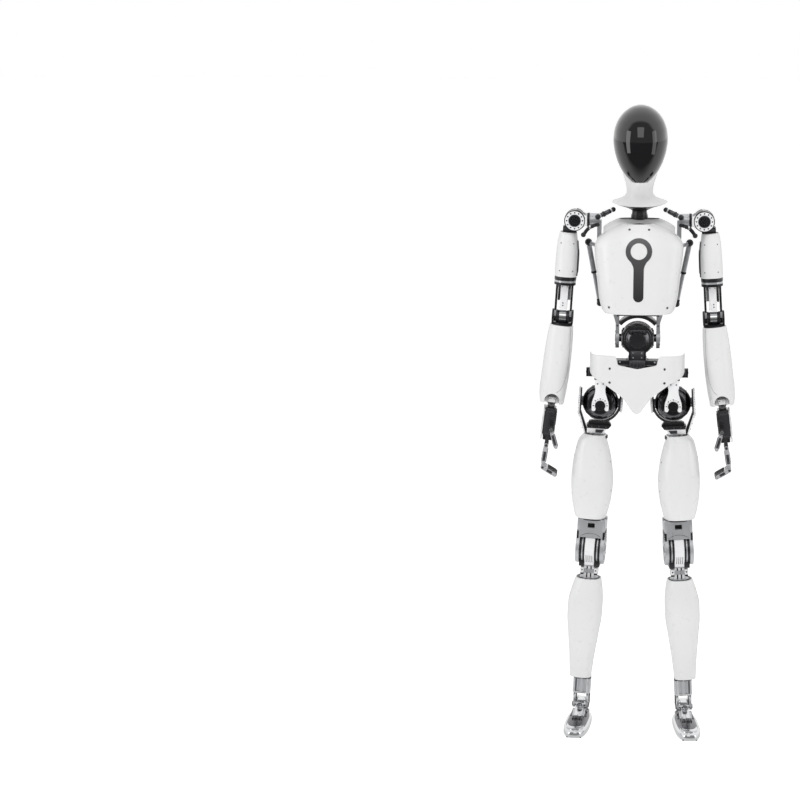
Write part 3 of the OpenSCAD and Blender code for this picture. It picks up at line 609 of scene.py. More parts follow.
def build_head():
    visor = Piece("visor_glass", "head", "visor_black", place("body"), smooth=50)
    head_skin(visor, VISOR, -0.1, True)
    visor.done("visor")

    shell = Piece("head_back", "head", "white_shell", place("body"), smooth=50)
    head_skin(shell, WHITE, 0.45, False)
    shell.done()
    neck = Piece("neck_collar", "head", "white_shell", place("collar"), smooth=50)
    loops = solid_loops(COLLAR + [(72, 0, -5, 43, 45, 2), (84, 0, -8, 44.5, 49, 2)], rows=76, around=128)
    lip = [[p + (p.normalized() * -cut) + Vector((0, 0, dz)) for p in loops[0]] for cut, dz in ((1.0,
            0.0), (0.2, 0.3))]
    neck.loops(lip + loops[1:], WHITE)
    neck.done("head_shell")

    stalk = Piece("neck_stalk", "head", "black_shell", place("body"), smooth=40)
    stalk.loops(solid_loops(DISH, rows=36, around=128, inset=0.2), SATIN, matrix=collar_tilt())
    cup = [(19.2, 1312.5), (20.4, 1312.2), (21.2, 1314), (21.3, 1318), (20.6, 1323), (19.2, 1328),
           (18.6, 1332), (19.6, 1337), (22.5, 1342), (14, 1342), (14, 1332), (16.5, 1325), (18.6, 1320),
           (19.4, 1315)]
    stalk.lathe(cup, SATIN, count=72)
    for z in (1314.5, 1318.5, 1322.5):
        stalk.disc(20.2, 21.9 - (z - 1314.5) * 0.1, z - 0.8, z + 0.8, MOULDED, at=(0, 0, 0), count=72)
    stalk.disc(0, 4, -15, 15, STEEL, "x", (0, 0, 1316))
    stalk.disc(0, 7.5, -9.5, 9.5, DRIVE, "x", (0, 0, 1316))
    stalk.block((-9.5, -7, 1316), (9.5, 7, 1334), DRIVE)
    stalk.done("neck_post")


# ---------------------------------------------------------------- torso

def chest_y(x, z, at=smooth_columns(CHEST)):
    rx, edge, depth, e = at(z)
    return edge - depth * max(0.0, 1 - abs(x / rx) ** e) ** (1 / e)


def keyhole(piece, finish):
    """The ring and slot let into the chest, following its curve."""
    ring_z, r_out, r_in, half, low = 1239.6, 33, 20.6, 12.8, 1125
    outline = arc_points(0, ring_z, r_out, -52, 232, 72)
    outline += [(-17.6, 1209), (-14.6, 1203), (-12.8, 1196)]
    outline += arc_points(0, low, half, 180, 360, 28)
    outline += [(12.8, 1196), (14.6, 1203), (17.6, 1209)]
    part = bmesh.new()
    rims = []
    for path in (outline, ring_path(0, ring_z, r_in, 72)):
        verts = [part.verts.new((u, 0, v)) for u, v in path]
        rims += [part.edges.new((verts[k], verts[(k + 1) % len(verts)])) for k in range(len(verts))]
    bmesh.ops.triangle_fill(part, use_beauty=True, use_dissolve=False, edges=rims, normal=(0, -1, 0))
    for level in range(1140, 1236, 6):
        bmesh.ops.bisect_plane(part, geom=part.verts[:] + part.edges[:] + part.faces[:], plane_co=(0, 0,
                level),
                               plane_no=(0, 0, 1))
    for side in (-24, -12, -6, 0, 6, 12, 24):
        bmesh.ops.bisect_plane(part, geom=part.verts[:] + part.edges[:] + part.faces[:], plane_co=(side,
                0, 0),
                               plane_no=(1, 0, 0))
    grown = bmesh.ops.extrude_face_region(part, geom=part.faces[:])
    lifted = {g for g in grown["geom"] if isinstance(g, bmesh.types.BMVert)}
    for v in part.verts:
        v.co.y = chest_y(v.co.x, v.co.z) + (-0.45 if v in lifted else 1.0)
    bmesh.ops.recalc_face_normals(part, faces=part.faces)
    part.normal_update()
    sharp = [e for e in part.edges if len(e.link_faces) == 2 and e.calc_face_angle(0) > math.radians(60)]
    bmesh.ops.bevel(part, geom=sharp, offset=0.25, segments=2, affect="EDGES", profile=0.5,
            clamp_overlap=True)
    piece.join(part, finish)


def build_torso():
    chest = Piece("chest_front", "torso", "white_shell", place("body"), smooth=40)
    chest.loops(half_loops(CHEST, WALL, True), WHITE)
    keyhole(chest, INLAY)
    for x, z in ((-72.9, 1096.8), (72.9, 1096.8), (-24.3, 1292.7), (24.3, 1292.7)):
        spot = aim((x, chest_y(x, z), z), (chest_y(x + 1, z) - chest_y(x - 1, z), -2, chest_y(x,
                z + 1) - chest_y(x, z - 1)))
        # painted shade: a dark ring round each screw head, for its recess
        chest.disc(0, 3.1, -0.3, 0.12, SHADE_GAP, "-y", matrix=spot, edge=0.05, count=24)
        chest.screw((0, 0, 0), 2.5, STEEL, height=0.35, matrix=spot)
    cap = shell_loops(SHOULDER_CAP, WALL, rows=40, around=128, rim=0.8)

    def trim(part):
        for side in (-1, 1):
            geom = part.verts[:] + part.edges[:] + part.faces[:]
            bmesh.ops.bisect_plane(part, geom=geom, plane_co=(side * 90, 0, 0), plane_no=(side, 0, 0),
                                   clear_outer=True)
            rim = [e for e in part.edges if e.is_boundary]
            if rim:
                bmesh.ops.holes_fill(part, edges=rim, sides=0)
    chest.loops(cap, WHITE, closed=True, cut=trim)
    # painted shade: a dark sheet under the open top, and a dark strip that shows under the chest
    chest.plate([(-88, -32), (-74, -66), (-40, -80), (40, -80), (74, -66), (88, -32), (80, 24), (-80, 24)],
                1262, 1266, SHADE_GAP, plane="xy", edge=0.4)
    chest.plate(arc_points(0, 1230, 74, 32, 148, 32) + [(-50, 1262), (50, 1262)], -33, -30, SHADE_GAP, edge=0.3)
    chest.done("chest_cover")

    back = Piece("back_shell", "torso", "black_shell", place("body"), smooth=40)
    back.loops(half_loops(BACK, WALL, False, grooves=((1128, 0.9, 0.9), (1222, 0.9, 0.9))), SATIN)
    at = smooth_columns(BACK)
    # painted shade in the vent slits: a dark ribbon in each, with a raised dark rib above it
    for k in range(7):
        z = 1146 + k * 9
        path = [half_point(at(z), z, a) for a in (60 + 60 * t / 24 for t in range(25))]
        normals = [Vector((p.x / 90, (p.y + 16) / 96, 0)).normalized() for p in path]
        back.ribbon(path, normals, 2.6, SHADE_GAP, lift=0.05)
        back.ribbon([p + Vector((0, 0, 2.4)) for p in path], normals, 1.2, MOULDED, lift=0.9)
    for x, z in ((-60, 1108), (60, 1108), (-70, 1208), (70, 1208), (-44, 1268), (44, 1268)):
        rx, edge, depth, e = at(z)
        y = edge + depth * (1 - abs(x / rx) ** e) ** (1 / e)
        back.screw((x, y - 0.2, z), 2.4, STEEL, axis="y", height=0.7)
    for s in (-1, 1):
        bar = [(s * 140, -28, 1274), (s * 133, -28.6, 1284), (s * 126, -28.8, 1291.5), (s * 118, -28, 1296),
               (s * 110, -20, 1298), (s * 103, -10, 1298)]
        for a, b in zip(bar, bar[1:]):
            back.rod(a, b, 4.6, DRIVE)
        for p in bar[1:-1]:
            back.ball(p, 4.6, DRIVE, count=20)
        back.ball(bar[0], 6.4, SATIN)
        back.ball(bar[3], 5.6, SATIN)
        back.disc(5.0, 5.6, -2, 2, CHROME, "x", (s * 124, -28.7, 1293))
    back.done("back_cover")

    ribs = Piece("chest_frame_details", "torso", "dark_drive", place("body"))
    # black bar and lining over the waist
    ribs.block((-52, -36.5, 1070), (52, -29, 1081.5), SATIN, edge=1)
    ribs.plate(arc_points(0, 1010, 62, 40, 140, 30) + arc_points(0, 1010, 54, 140, 40, 30), -30, 30,
            SATIN, edge=0.6)
    for s in (-1, 1):
        for z in (1024, 1043, 1068):
            ribs.screw((s * 51.5, -20, z), 2.1, STEEL, height=0.8)
        ribs.disc(0, 9, -0.4, 1.2, CHROME, "x" if s > 0 else "-x", (s * 56, 0, 1010))
        for k in range(8):
            a = math.radians(45 * k + 22.5)
            ribs.screw((s * 56.2, 17 * math.cos(a), 1010 + 17 * math.sin(a)), 1.7, STEEL,
                       axis="x" if s > 0 else "-x", height=0.8)
        # ends of the neck strut and the side rod
        ribs.ball((s * 104, -10, 1318), 7.4, SATIN)
        ribs.ball((s * 66, 0, 1336), 6.4, SATIN)
        ribs.rod((s * 97, -8.2, 1321.3), (s * 76, -2.6, 1331.3), 6.2, GUNMETAL, edge=1)
        ribs.rod((s * 92, -6.8, 1323.7), (s * 87, -5.5, 1326.1), 7.4, SATIN, edge=1)
        ribs.rod((s * 78, -3.2, 1330.3), (s * 73, -1.8, 1332.7), 6.0, DRIVE)
        ribs.ball((s * 128, 40, 1249), 9.4, SATIN)
        ribs.ball((s * 98, 58, 1090), 7.9, SATIN)
        top, low = Vector((s * 128, 40, 1249)), Vector((s * 98, 58, 1090))
        run = (low - top).normalized()
        ribs.rod(top + run * 8, top + run * 78, 6.6, ALLOY, edge=1.2)
        ribs.rod(top + run * 76, top + run * 82, 7.4, SATIN, edge=0.8)
        ribs.rod(top + run * 150, top + run * 158, 6.2, SATIN, edge=0.8)
        ribs.disc(0, 12.5, -0.6, 0.8, DRIVE, "-x" if s < 0 else "x", (s * 123.2, 10, 1308.7))
        # chest sides between front and back shells
        for z in (1100, 1140, 1180, 1216):
            ribs.block((s * 66 - 18, -28, z), (s * 66 + 18, 16, z + 5), DRIVE, edge=0.8)
        ribs.block((s * 62 - 12, -22, 1092), (s * 62 + 12, 30, 1226), SATIN, edge=1.5)
    ribs.done()


def build_waist():
    ball = Piece("waist_ball_details", "waist_drive", "dark_drive", place("body", extra=move(0, 0, 1010)))
    for r, y0, y1, finish in ((41.6, -20, -15, CHROME), (38.5, -26, -19, SATIN), (34.5, -31.5, -25,
            GUNMETAL),
                              (41.6, 15, 20, CHROME), (38.5, 19, 26, SATIN), (34.5, 25, 31.5, GUNMETAL)):
        ball.disc(r - 8, r, y0, y1, finish, "y", edge=0.8, count=96)
    for s in (-1, 1):
        ball.disc(14, 25.5, 34.5, 38.5, DRIVE, "x" if s > 0 else "-x", edge=0.8, count=64)
        ball.disc(9, 21, 38, 41, ALLOY, "x" if s > 0 else "-x", edge=0.6, count=64)
    ball.block((-24, -46, 27), (24, -18, 36), SATIN, edge=1.2)
    ball.block((-22.2, -45.6, 14), (22.2, -20, 26.4), GUNMETAL, edge=1)
    for x in (-16, -8, 0, 8, 16):
        ball.block((x - 2.6, -46.0, 16), (x + 2.6, -44, 24.5), STEEL, edge=0.3)
    ball.done()

    post = Piece("waist_post_details", "waist_post", "dark_drive", place("body"))
    for s, axis in ((-1, "-y"), (1, "y")):
        grooves = [(0, 0.2), (3, 0.2), (3, 1.6), (5.6, 1.6), (5.6, 0.6), (7.4, 0.6), (7.4, 1.6), (10.6,
                1.6),
                   (10.6, 0.6), (12.2, 0.6), (12.2, 1.6), (15.6, 1.6), (15.6, 0.6), (17.2, 0.6), (17.2,
                       1.5),
                   (20.8, 1.5), (21.4, 0.9), (21.4, -0.8), (0, -0.8)]
        post.lathe(grooves, GUNMETAL, axis, (0, s * 56, 1010), 72)
        for k in range(10):
            a = math.radians(36 * k)
            post.screw((19 * math.cos(a), s * 57.4, 1010 + 19 * math.sin(a)), 1.2, STEEL, axis=axis,
                    height=0.5)
        post.block((-17, min(s * 55.6, s * 57.6), 962), (17, max(s * 55.6, s * 57.6), 984), STEEL, edge=0.5)
        for x in (-11, 11):
            for z in (967, 979):
                post.screw((x, s * 57.6, z), 1.6, ALLOY, axis=axis, height=0.6)
    post.disc(20, 23.5, 957, 964, GUNMETAL, count=72)
    post.done()


def build_pelvis():
    front = Piece("pelvis_front", "pelvis", "white_shell", place("body"), smooth=40)
    # a flat sheet with the cover's outline, wrapped onto the curved shell
    part = bmesh.new()
    rounded = soften(PELVIS_OUTLINE, 5.0, 6)
    verts = [part.verts.new((u, 0, v)) for u, v in rounded]
    rims = [part.edges.new((verts[k], verts[(k + 1) % len(verts)])) for k in range(len(verts))]
    bmesh.ops.triangle_fill(part, use_beauty=True, use_dissolve=False, edges=rims, normal=(0, -1, 0))
    for x in range(-118, 119, 4):
        bmesh.ops.bisect_plane(part, geom=part.verts[:] + part.edges[:] + part.faces[:], plane_co=(x, 0, 0),
                               plane_no=(1, 0, 0))
    for x in (-119.6, -119, -117, -115, -113, 113, 115, 117, 119, 119.6):
        bmesh.ops.bisect_plane(part, geom=part.verts[:] + part.edges[:] + part.faces[:], plane_co=(x, 0, 0),
                               plane_no=(1, 0, 0))
    for z in range(830, 973, 8):
        bmesh.ops.bisect_plane(part, geom=part.verts[:] + part.edges[:] + part.faces[:], plane_co=(0, 0, z),
                               plane_no=(0, 0, 1))
    at = smooth_columns(PELVIS)
    grown = bmesh.ops.extrude_face_region(part, geom=part.faces[:])
    inside = {g for g in grown["geom"] if isinstance(g, bmesh.types.BMVert)}
    for v in part.verts:
        rx, edge, depth, e = at(v.co.z)
        cut = WALL if v in inside else 0.0
        # walk round the corner by the share of the half perimeter, so that the sides stay even
        share = max(-1.0, min(1.0, v.co.x / 121))
        flat = abs(share) < 0.72
        if flat:
            v.co.y = edge - (depth - cut) * (1 - abs(v.co.x / (rx - cut)) ** e) ** (1 / e)
        else:
            base = math.copysign(0.72, share)
            a0 = math.degrees(math.acos(min(1.0, (abs(base * 121 / (rx - cut))) ** (e / 2))))
            t = (abs(share) - 0.72) / 0.28
            a = math.radians(lerp(a0, 0.0, t))
            v.co.x = math.copysign((rx - cut) * math.cos(a) ** (2 / e), share)
            v.co.y = edge - (depth - cut) * math.sin(a) ** (2 / e)
    bmesh.ops.recalc_face_normals(part, faces=part.faces)
    front.join(part, PELVIS_WHITE)
    for x in (-68.5, 68.5):
        for z in (940.7, 905.4):
            rx, edge, depth, e = at(z)
            y = edge - depth * (1 - abs(x / rx) ** e) ** (1 / e)
            # painted shade: a dark ring round each screw head, for its recess
            front.disc(0, 3.2, -0.3, 0.12, SHADE_GAP, "-y", (x, y, z), 0.05, 24)
            front.screw((x, y, z), 2.6, STEEL, height=0.35)
    front.done("pelvis_cover")

    plates = Piece("hip_bracket_plates", "pelvis", "white_metal", place("body"), smooth=35)
    for side in (-1, 1):
        spot = move(side * HIP[0], 0, HIP[1])
        for s in (-1, 1):
            left = [(-20.5, 9), (-17, 20), (-13.5, 31), (-12.2, 42), (-14.5, 52), (-15, 66)]
            slot_path = arc_points(-16.5, -9.0, 5.0, 180, 360, 12) + arc_points(0, 0, 13.2, 215, -35, 40)
            slot_path += arc_points(16.5, -9.0, 5.0, 180, 360, 12)
            outline = [(-21.5, -9)] + slot_path[1:-1] + [(21.5, -9), (21.5, 2)]
            outline += [(-x, z) for x, z in left] + left[::-1] + [(-21.5, 2)]
            holes = [(17.4 * math.cos(math.radians(45 * k)), 17.4 * math.sin(math.radians(45 * k)), 1.8, 16)
                     for k in range(5)]
            plates.plate(outline, s * 61 - 3, s * 61 + 3, COATED, holes=holes, edge=0.5, matrix=spot)
            axis = "y" if s > 0 else "-y"
            # painted shade: dark plugs for the bracket's smaller holes
            for k in range(4):
                a = math.radians(45 * k + 22.5)
                plates.dot((17.4 * math.cos(a), s * 64, 17.4 * math.sin(a)), 0.9, axis, matrix=spot)
            for x, z in ((-7, 56), (7, 56)):
                plates.screw((x, s * 64, z), 1.9, STEEL, axis=axis, height=0.6, matrix=spot)
            plates.block((-12.5, min(s * 58.4, s * 50), 44), (12.5, max(s * 58.4, s * 50), 70), DRIVE,
                    matrix=spot)
    plates.done("hip_brackets")

    frame_bits = Piece("pelvis_details", "pelvis", "dark_drive", place("body"))
    frame_bits.disc(20, 28, 946, 955.4, GUNMETAL, count=72, edge=0.8)
    for k in range(24):
        a = math.radians(15 * k)
        frame_bits.block((-1.2, -1.5, 946.5), (1.2, 1.5, 956.3), STEEL, edge=0.3,
                         matrix=move(27.4 * math.cos(a), 27.4 * math.sin(a), 0) @ turn("Z", 15 * k))
    frame_bits.block((-49, -66, 949.5), (49, -56, 960.8), DRIVE, edge=1)
    frame_bits.block((-20, -68, 939), (20, -56, 961.5), STEEL, edge=1.5)
    for x in (-44, 44):
        frame_bits.screw((x, -66, 957), 2.3, ALLOY, height=1.0)
    for x in (-14, -5, 5, 14):
        frame_bits.block((x - 2.5, -69.2, 943), (x + 2.5, -67, 957), GUNMETAL, edge=0.5)
    for s in (-1, 1):
        frame_bits.block((s * 117 - 8, 30, 906), (s * 117 + 8, 40, 922), STEEL, edge=1)
        for y in (43, 51):
            frame_bits.screw((s * 130, y, 914), 2.2, STEEL, axis="x" if s > 0 else "-x", height=0.8)
        frame_bits.screw((s * 117, 30, 914), 2.6, STEEL, height=0.9)
        for k in range(6):
            frame_bits.block((s * (20 + 11 * k) - 4, -63.5, 920), (s * (20 + 11 * k) + 4, -61, 936),
                    STEEL, edge=0.5)
            frame_bits.block((s * (20 + 14 * k) - 5, 63, 920), (s * (20 + 14 * k) + 5, 65.5, 936), STEEL,
                    edge=0.5)
        for x, y in ((54, -54), (54, 54), (54, 0)):
            frame_bits.screw((s * x, y, 948), 2.6, STEEL, axis="z", height=1.0)
    frame_bits.done()


def soften(outline, radius, steps):
    """Rounds every corner of a closed outline."""
    out = []
    n = len(outline)
    for k in range(n):
        p, a, b = Vector(outline[k]), Vector(outline[k - 1]), Vector(outline[(k + 1) % n])
        da, db = (a - p), (b - p)
        cut = min(radius, da.length * 0.45, db.length * 0.45)
        start, end = p + da.normalized() * cut, p + db.normalized() * cut
        for i in range(steps + 1):
            t = i / steps
            out.append(tuple(start * (1 - t) ** 2 + p * 2 * t * (1 - t) + end * t**2))
    return out


def aim(point, normal, start=(0, -1, 0)):
    """A matrix that puts the local start direction along a surface normal at a point."""
    return Matrix.Translation(point) @ Vector(start).rotation_difference(Vector(normal)).to_matrix().to_4x4()


def cut_away(piece, low, high, matrix, drum=None):
    """Cuts a box, or a drum along y, out of a finished piece."""
    part = bmesh.new()
    if drum:
        x, z, r = drum
        bmesh.ops.create_cone(part, cap_ends=True, segments=64, radius1=r, radius2=r, depth=1)
        bmesh.ops.transform(part, verts=part.verts,
                            matrix=move(x, (low[1] + high[1]) / 2, z) @ turn("X", 90)
                            @ Matrix.Diagonal((1, 1, high[1] - low[1], 1)))
    else:
        bmesh.ops.create_cube(part, size=1)
        for v in part.verts:
            v.co = Vector([lerp(low[k], high[k], v.co[k] + 0.5) for k in range(3)])
    bmesh.ops.transform(part, verts=part.verts, matrix=matrix)
    bmesh.ops.recalc_face_normals(part, faces=part.faces)
    mesh = bpy.data.meshes.new("cutter")
    part.to_mesh(mesh)
    part.free()
    cutter = bpy.data.objects.new("cutter", mesh)
    scene.collection.objects.link(cutter)
    mod = piece.modifiers.new("cut", "BOOLEAN")
    mod.operation, mod.solver, mod.object = "DIFFERENCE", "EXACT", cutter
    graph = bpy.context.evaluated_depsgraph_get()
    new = bpy.data.meshes.new_from_object(piece.evaluated_get(graph))
    piece.modifiers.clear()
    piece.data = new
    new.set_sharp_from_angle(angle=math.radians(40))
    bpy.data.objects.remove(cutter)


def soft_edges(piece, width=0.5, angle=45, steps=2):
    mod = piece.modifiers.new("soft_edges", "BEVEL")
    mod.width, mod.segments = width * MM, steps
    mod.limit_method, mod.angle_limit = "ANGLE", math.radians(angle)
    mod.harden_normals = False


def patch(piece, rings, z0, z1, a0, a1, lift, sink, finish, rows=24, count=16, ease=0.0):
    """A thickened patch over part of a loft."""
    at = smooth_columns(rings)

    def grid(shift):
        out = []
        for k in range(rows + 1):
            z = lerp(z0, z1, k / rows)
            pinch = ease * (abs(2 * k / rows - 1) ** 3)
            line = []
            for i in range(count + 1):
                a = lerp(a0 + pinch, a1 - pinch, i / count)
                line.append(ring_point(at(z), z, a, -shift))
            out.append(line)
        return out
    part = bmesh.new()
    top, low = grid(lift), grid(-sink)
    tv = [[part.verts.new(p) for p in line] for line in top]
    lv = [[part.verts.new(p) for p in line] for line in low]
    for k in range(rows):
        for i in range(count):
            part.faces.new((tv[k][i], tv[k][i + 1], tv[k + 1][i + 1], tv[k + 1][i]))
            part.faces.new((lv[k][i], lv[k + 1][i], lv[k + 1][i + 1], lv[k][i + 1]))
    for k in range(rows):
        for i in (0, count):
            part.faces.new((tv[k][i], tv[k + 1][i], lv[k + 1][i], lv[k][i]))
    for i in range(count):
        for k in (0, rows):
            part.faces.new((tv[k][i], tv[k][i + 1], lv[k][i + 1], lv[k][i]))
    bmesh.ops.recalc_face_normals(part, faces=part.faces)
    part.normal_update()
    sharp = [e for e in part.edges if e.calc_face_angle(0) > math.radians(60)]
    bmesh.ops.bevel(part, geom=sharp, offset=min(0.4, (lift + sink) * 0.3), segments=2, affect="EDGES",
                    profile=0.5, clamp_overlap=True)
    piece.join(part, finish)


def surface_screw(piece, rings, z, angle, r, finish=None):
    points, normals = on_shell(rings, [(z, angle), (z + 0.01, angle)], 1)
    spot = aim(points[0], normals[0])
    # painted shade: a dark ring round the screw head, for its recess
    piece.disc(0, r * 1.3, -0.3, 0.12, SHADE_GAP, "-y", matrix=spot, edge=0.05, count=20)
    piece.screw((0, 0, 0), r, finish or STEEL, height=0.35, matrix=spot)


def arc_band(r0, r1, a0, a1, count=32):
    return arc_points(0, 0, r1, a0, a1, count) + arc_points(0, 0, r0, a1, a0, count)


def capsule(half, r, count=24):
    return arc_points(half, 0, r, -90, 90, count) + arc_points(-half, 0, r, 90, 270, count)


# ---------------------------------------------------------------- arms and hands

def build_arm(side):
    end = "_" + side
    disc = Piece("shoulder_yoke_details" + end, "shoulder_yoke" + end, "white_metal", place("shoulder",
            side))
    disc.disc(24.2, 26.4, -34.7, -25.6, DRIVE, "y", count=96, edge=0.5)
    disc.disc(22.4, 24.5, 27.6, 34.6, DRIVE, "y", count=96, edge=0.5)
    # painted shade: the disc's holes are dark plugs, front and back
    for k in range(12):
        a = math.radians(30 * k)
        disc.disc(0, 1.96, -30.4, -30.1, SHADE_GAP, "y", (20 * math.sin(a), 0, 20 * math.cos(a)), 0.05, 16)
        disc.disc(0, 1.5, 33.6, 34.15, SHADE_GAP, "y", (16 * math.sin(a), 0, 16 * math.cos(a)), 0.05, 16)
    disc.disc(13.9, 15.6, -34.5, -29, STEEL, "y", count=72, edge=0.3)
    for y in (-20, 0, 20):
        disc.screw((-31, y, 7), 2.0, STEEL, axis="-x", height=0.8)
        disc.screw((-31, y, -7), 2.0, STEEL, axis="-x", height=0.8)
    disc.disc(16.4, 18.0, -37.8, -31.2, DRIVE, "x", count=64)
    disc.plate(arc_points(0, 0, 27, 100, 168, 20) + arc_points(0, 0, 25.4, 168, 100, 20), -34.4, 34.2,
            DRIVE,
               edge=0.4)
    disc.done()

    drive = Piece("shoulder_drive_details" + end, "shoulder_drive" + end, "dark_drive", place("shoulder",
            side))
    hub = [(0, -0.6), (13.7, -0.6), (13.7, 0.9), (12.6, 1.3), (10.8, 1.3), (10.8, 0.5), (8.6, 0.5), (8.6,
            1.3),
           (5.4, 1.3), (5.4, 0.4), (3.6, 0.4), (3.6, 1.2), (2.4, 1.2), (2.0, -0.2), (0, -0.2)]
    drive.lathe(hub, DRIVE, "-y", (0, -36, 0), 72)
    drive.lathe([(r * 0.7, h) for r, h in hub], DRIVE, "y", (0, 34, 0), 64)
    for k in range(8):
        a = math.radians(45 * k)
        drive.screw((7 * math.sin(a), -36.2, 7 * math.cos(a)), 1.0, STEEL, height=1.3)
        drive.screw((11.8 * math.sin(a + 0.39), -37.1, 11.8 * math.cos(a + 0.39)), 0.7, STEEL, height=0.5)
    for y in (-22, -17, -12, 12, 17, 22):
        drive.disc(24.0, 25.9, y - 1.2, y + 1.2, DRIVE, "y", count=72)
    drive.disc(24.0, 25.6, -6, 6, CHROME, "y", count=72, edge=0.8)
    neck = move(13, 0, 0) @ turn("Y", -3.6)
    drive.disc(12.2, 15.5, -31.6, -30.1, CHROME, "z", matrix=neck, count=64)
    for s in (-1, 1):
        drive.block((-18, s * 18 - 0.8, -27), (13, s * 18 + 0.8, -19), STEEL, edge=0.4, matrix=neck)
    drive.done()

    shell = Piece("upper_arm_cover" + end, "upper_arm" + end, "white_shell", place("upper", side),
            smooth=40)
    shell.loops(shell_loops(UPPER_ARM, WALL, rows=56, around=112, rim=0.9,
                            seams=((88, 0.55, 0.7),)), WHITE, closed=True)
    patch(shell, UPPER_ARM, -142, -52, 160, 196, 2.2, 0.6, DRIVE, rows=36, count=14, ease=7)
    patch(shell, UPPER_ARM, -132, -74, 168, 188, 3.0, 0.2, STEEL, rows=24, count=8, ease=4)
    for z, a in ((-58, 236), (-128, 236), (-58, 304), (-128, 300), (-60, 70), (-126, 70), (-60, 110),
            (-126, 110)):
        surface_screw(shell, UPPER_ARM, z, a, 1.3)
    shell.done("upper_arm_shell" + end)

    bars = Piece("upper_arm_details" + end, "upper_arm" + end, "dark_drive", place("upper", side))
    bars.lathe([(20, -144.6), (27.4, -144.6), (28.0, -147), (27.6, -153), (25.4, -158), (22.5, -160.5),
                (20, -160.5)], SATIN, count=96)
    bars.disc(22.5, 27.4, -166, -159, DRIVE, count=96, edge=0.8)
    for s in (-1, 1):
        bars.block((s * 19.5 - 2.7, -13.2, -232), (s * 19.5 + 2.7, 13.2, -164), DRIVE, edge=0.8)
        bars.disc(7, 13.15, -2.65, 2.65, DRIVE, "x", (s * 19.5, 0, -248), count=64)
        for z in (-176, -198, -220):
            bars.screw((s * 22.2, 0, z), 1.6, STEEL, axis="x" if s > 0 else "-x", height=0.2)
    for y0, y1, axis, face in ((-13.2, -9.6, "-y", -13.2), (9.4, 13.2, "y", 13.2)):
        bars.block((-9.5, y0, -228), (9.5, y1, -162), COATED, edge=0.8)
        # painted shade: dark plugs for two holes in each bar
        for z in (-212, -218.5):
            bars.dot((1.5, face, z), 1.7, axis)
        for x in (-6.5, 6.5):
            bars.screw((x, face, -170), 1.3, STEEL, axis=axis, height=0.5)
        bars.plate([(-16, -166), (16, -166), (16, -172), (10, -178), (-10, -178), (-16, -172)],
                   min(y0, y1) + 0.6, max(y0, y1) - 0.4, STEEL, edge=0.4)
    bars.block((10.4, -11, -206), (15.4, 11, -168), GUNMETAL, edge=0.8)
    bars.done()

    fore = Piece("forearm_cover" + end, "forearm" + end, "white_shell", place("arm", side), smooth=40)
    fore.loops(shell_loops(FOREARM, WALL, rows=72, around=112, rim=0.9, seams=((92, 0.45, 0.7),)), WHITE,
            closed=True)
    path = [(-271, 222), (-300, 219), (-345, 217), (-385, 219), (-410, 226), (-430, 240), (-440, 258)]
    smooth_path = smooth_columns([(-p[0], p[1]) for p in path])
    fine = [(-z, smooth_path(z)[0]) for z in [271 + k * 2 for k in range(85)]]
    points, normals = on_shell(FOREARM, fine, 1)
    fore.ribbon(points, normals, 0.7, SHADE_GAP, lift=0.05)
    for z, a in ((-298, 262), (-392, 256), (-290, 140), (-420, 150), (-290, 40), (-425, 40)):
        surface_screw(fore, FOREARM, z, a, 1.25)
    cover = fore.done("forearm_shell" + end)
    cut_away(cover, (0, -70, 0), (0, -10, 0), place("arm", side), drum=(0, -462, 19))
    cut_away(cover, (-19, -70, -490), (19, -10, -462), place("arm", side))
    soft_edges(cover, 0.6, 50)

    elbow = Piece("elbow_details" + end, "forearm" + end, "dark_drive", place("upper", side, move(0, 0,
            -ELBOW_DROP)))
    for s in (-1, 1):
        axis = "x" if s > 0 else "-x"
        cap = [(0, -0.4), (18.4, -0.4), (19.3, 0.2), (19.3, 0.5), (16.5, 1.0), (16.5, 0.4), (12.8, 0.4),
               (12.8, 1.2), (7.4, 1.2), (7.4, 0.3), (5.4, 0.3), (5.4, 1.1), (0, 1.1)]
        elbow.lathe(cap, GUNMETAL, axis, (s * 26.4, 0, 0), 72)
        for k in range(8):
            a = math.radians(45 * k)
            elbow.screw((s * 27.0, 14.7 * math.cos(a), 14.7 * math.sin(a)), 1.1, STEEL, axis=axis,
                    height=0.5)
    elbow.disc(15.2, 17.0, -16.6, -12, SATIN, "x", count=72)
    elbow.disc(15.2, 17.0, 12, 16.6, SATIN, "x", count=72)
    elbow.disc(15.2, 16.5, -9, 9, CHROME, "x", count=72, edge=0.5)
    elbow.done()
    core = Piece("forearm_details" + end, "forearm" + end, "dark_drive", place("arm", side))
    core.disc(12, 26.6, -272.5, -266.5, SATIN, count=96, edge=1)
    core.disc(12, 20.6, -449.2, -440, SATIN, count=96, edge=1)
    core.disc(12, 20.9, -438, -434, CHROME, count=96, edge=0.6)
    core.done()

    wrist = Piece("wrist_details" + end, "wrist" + end, "white_metal", place("arm", side))
    wrist.lathe([(6.5, -449.0), (11, -449.6), (15.4, -451.6), (18.2, -454.8), (20.2, -459.5), (21.0, -466),
                 (21.0, -470), (19.8, -471), (16, -471), (14, -458.5), (6.5, -451)], COATED, count=96)
    for s in (-1, 1):
        axis = "y" if s > 0 else "-y"
        wrist.block((-9, min(s * 21, s * 23), -468), (9, max(s * 21, s * 23), -455), COATED, edge=0.9)
        wrist.disc(5.4, 10.2, 0, 0.9, CHROME, axis, (0, s * 21.4, -WRIST_DROP), count=64)
        for x in (-5.5, 0.8, 5.5):
            wrist.screw((x, s * 23, -458.5), 1.2 if x != 0.8 else 0.8, STEEL, axis=axis, height=0.4)
    wrist.done()
    build_hand(side)


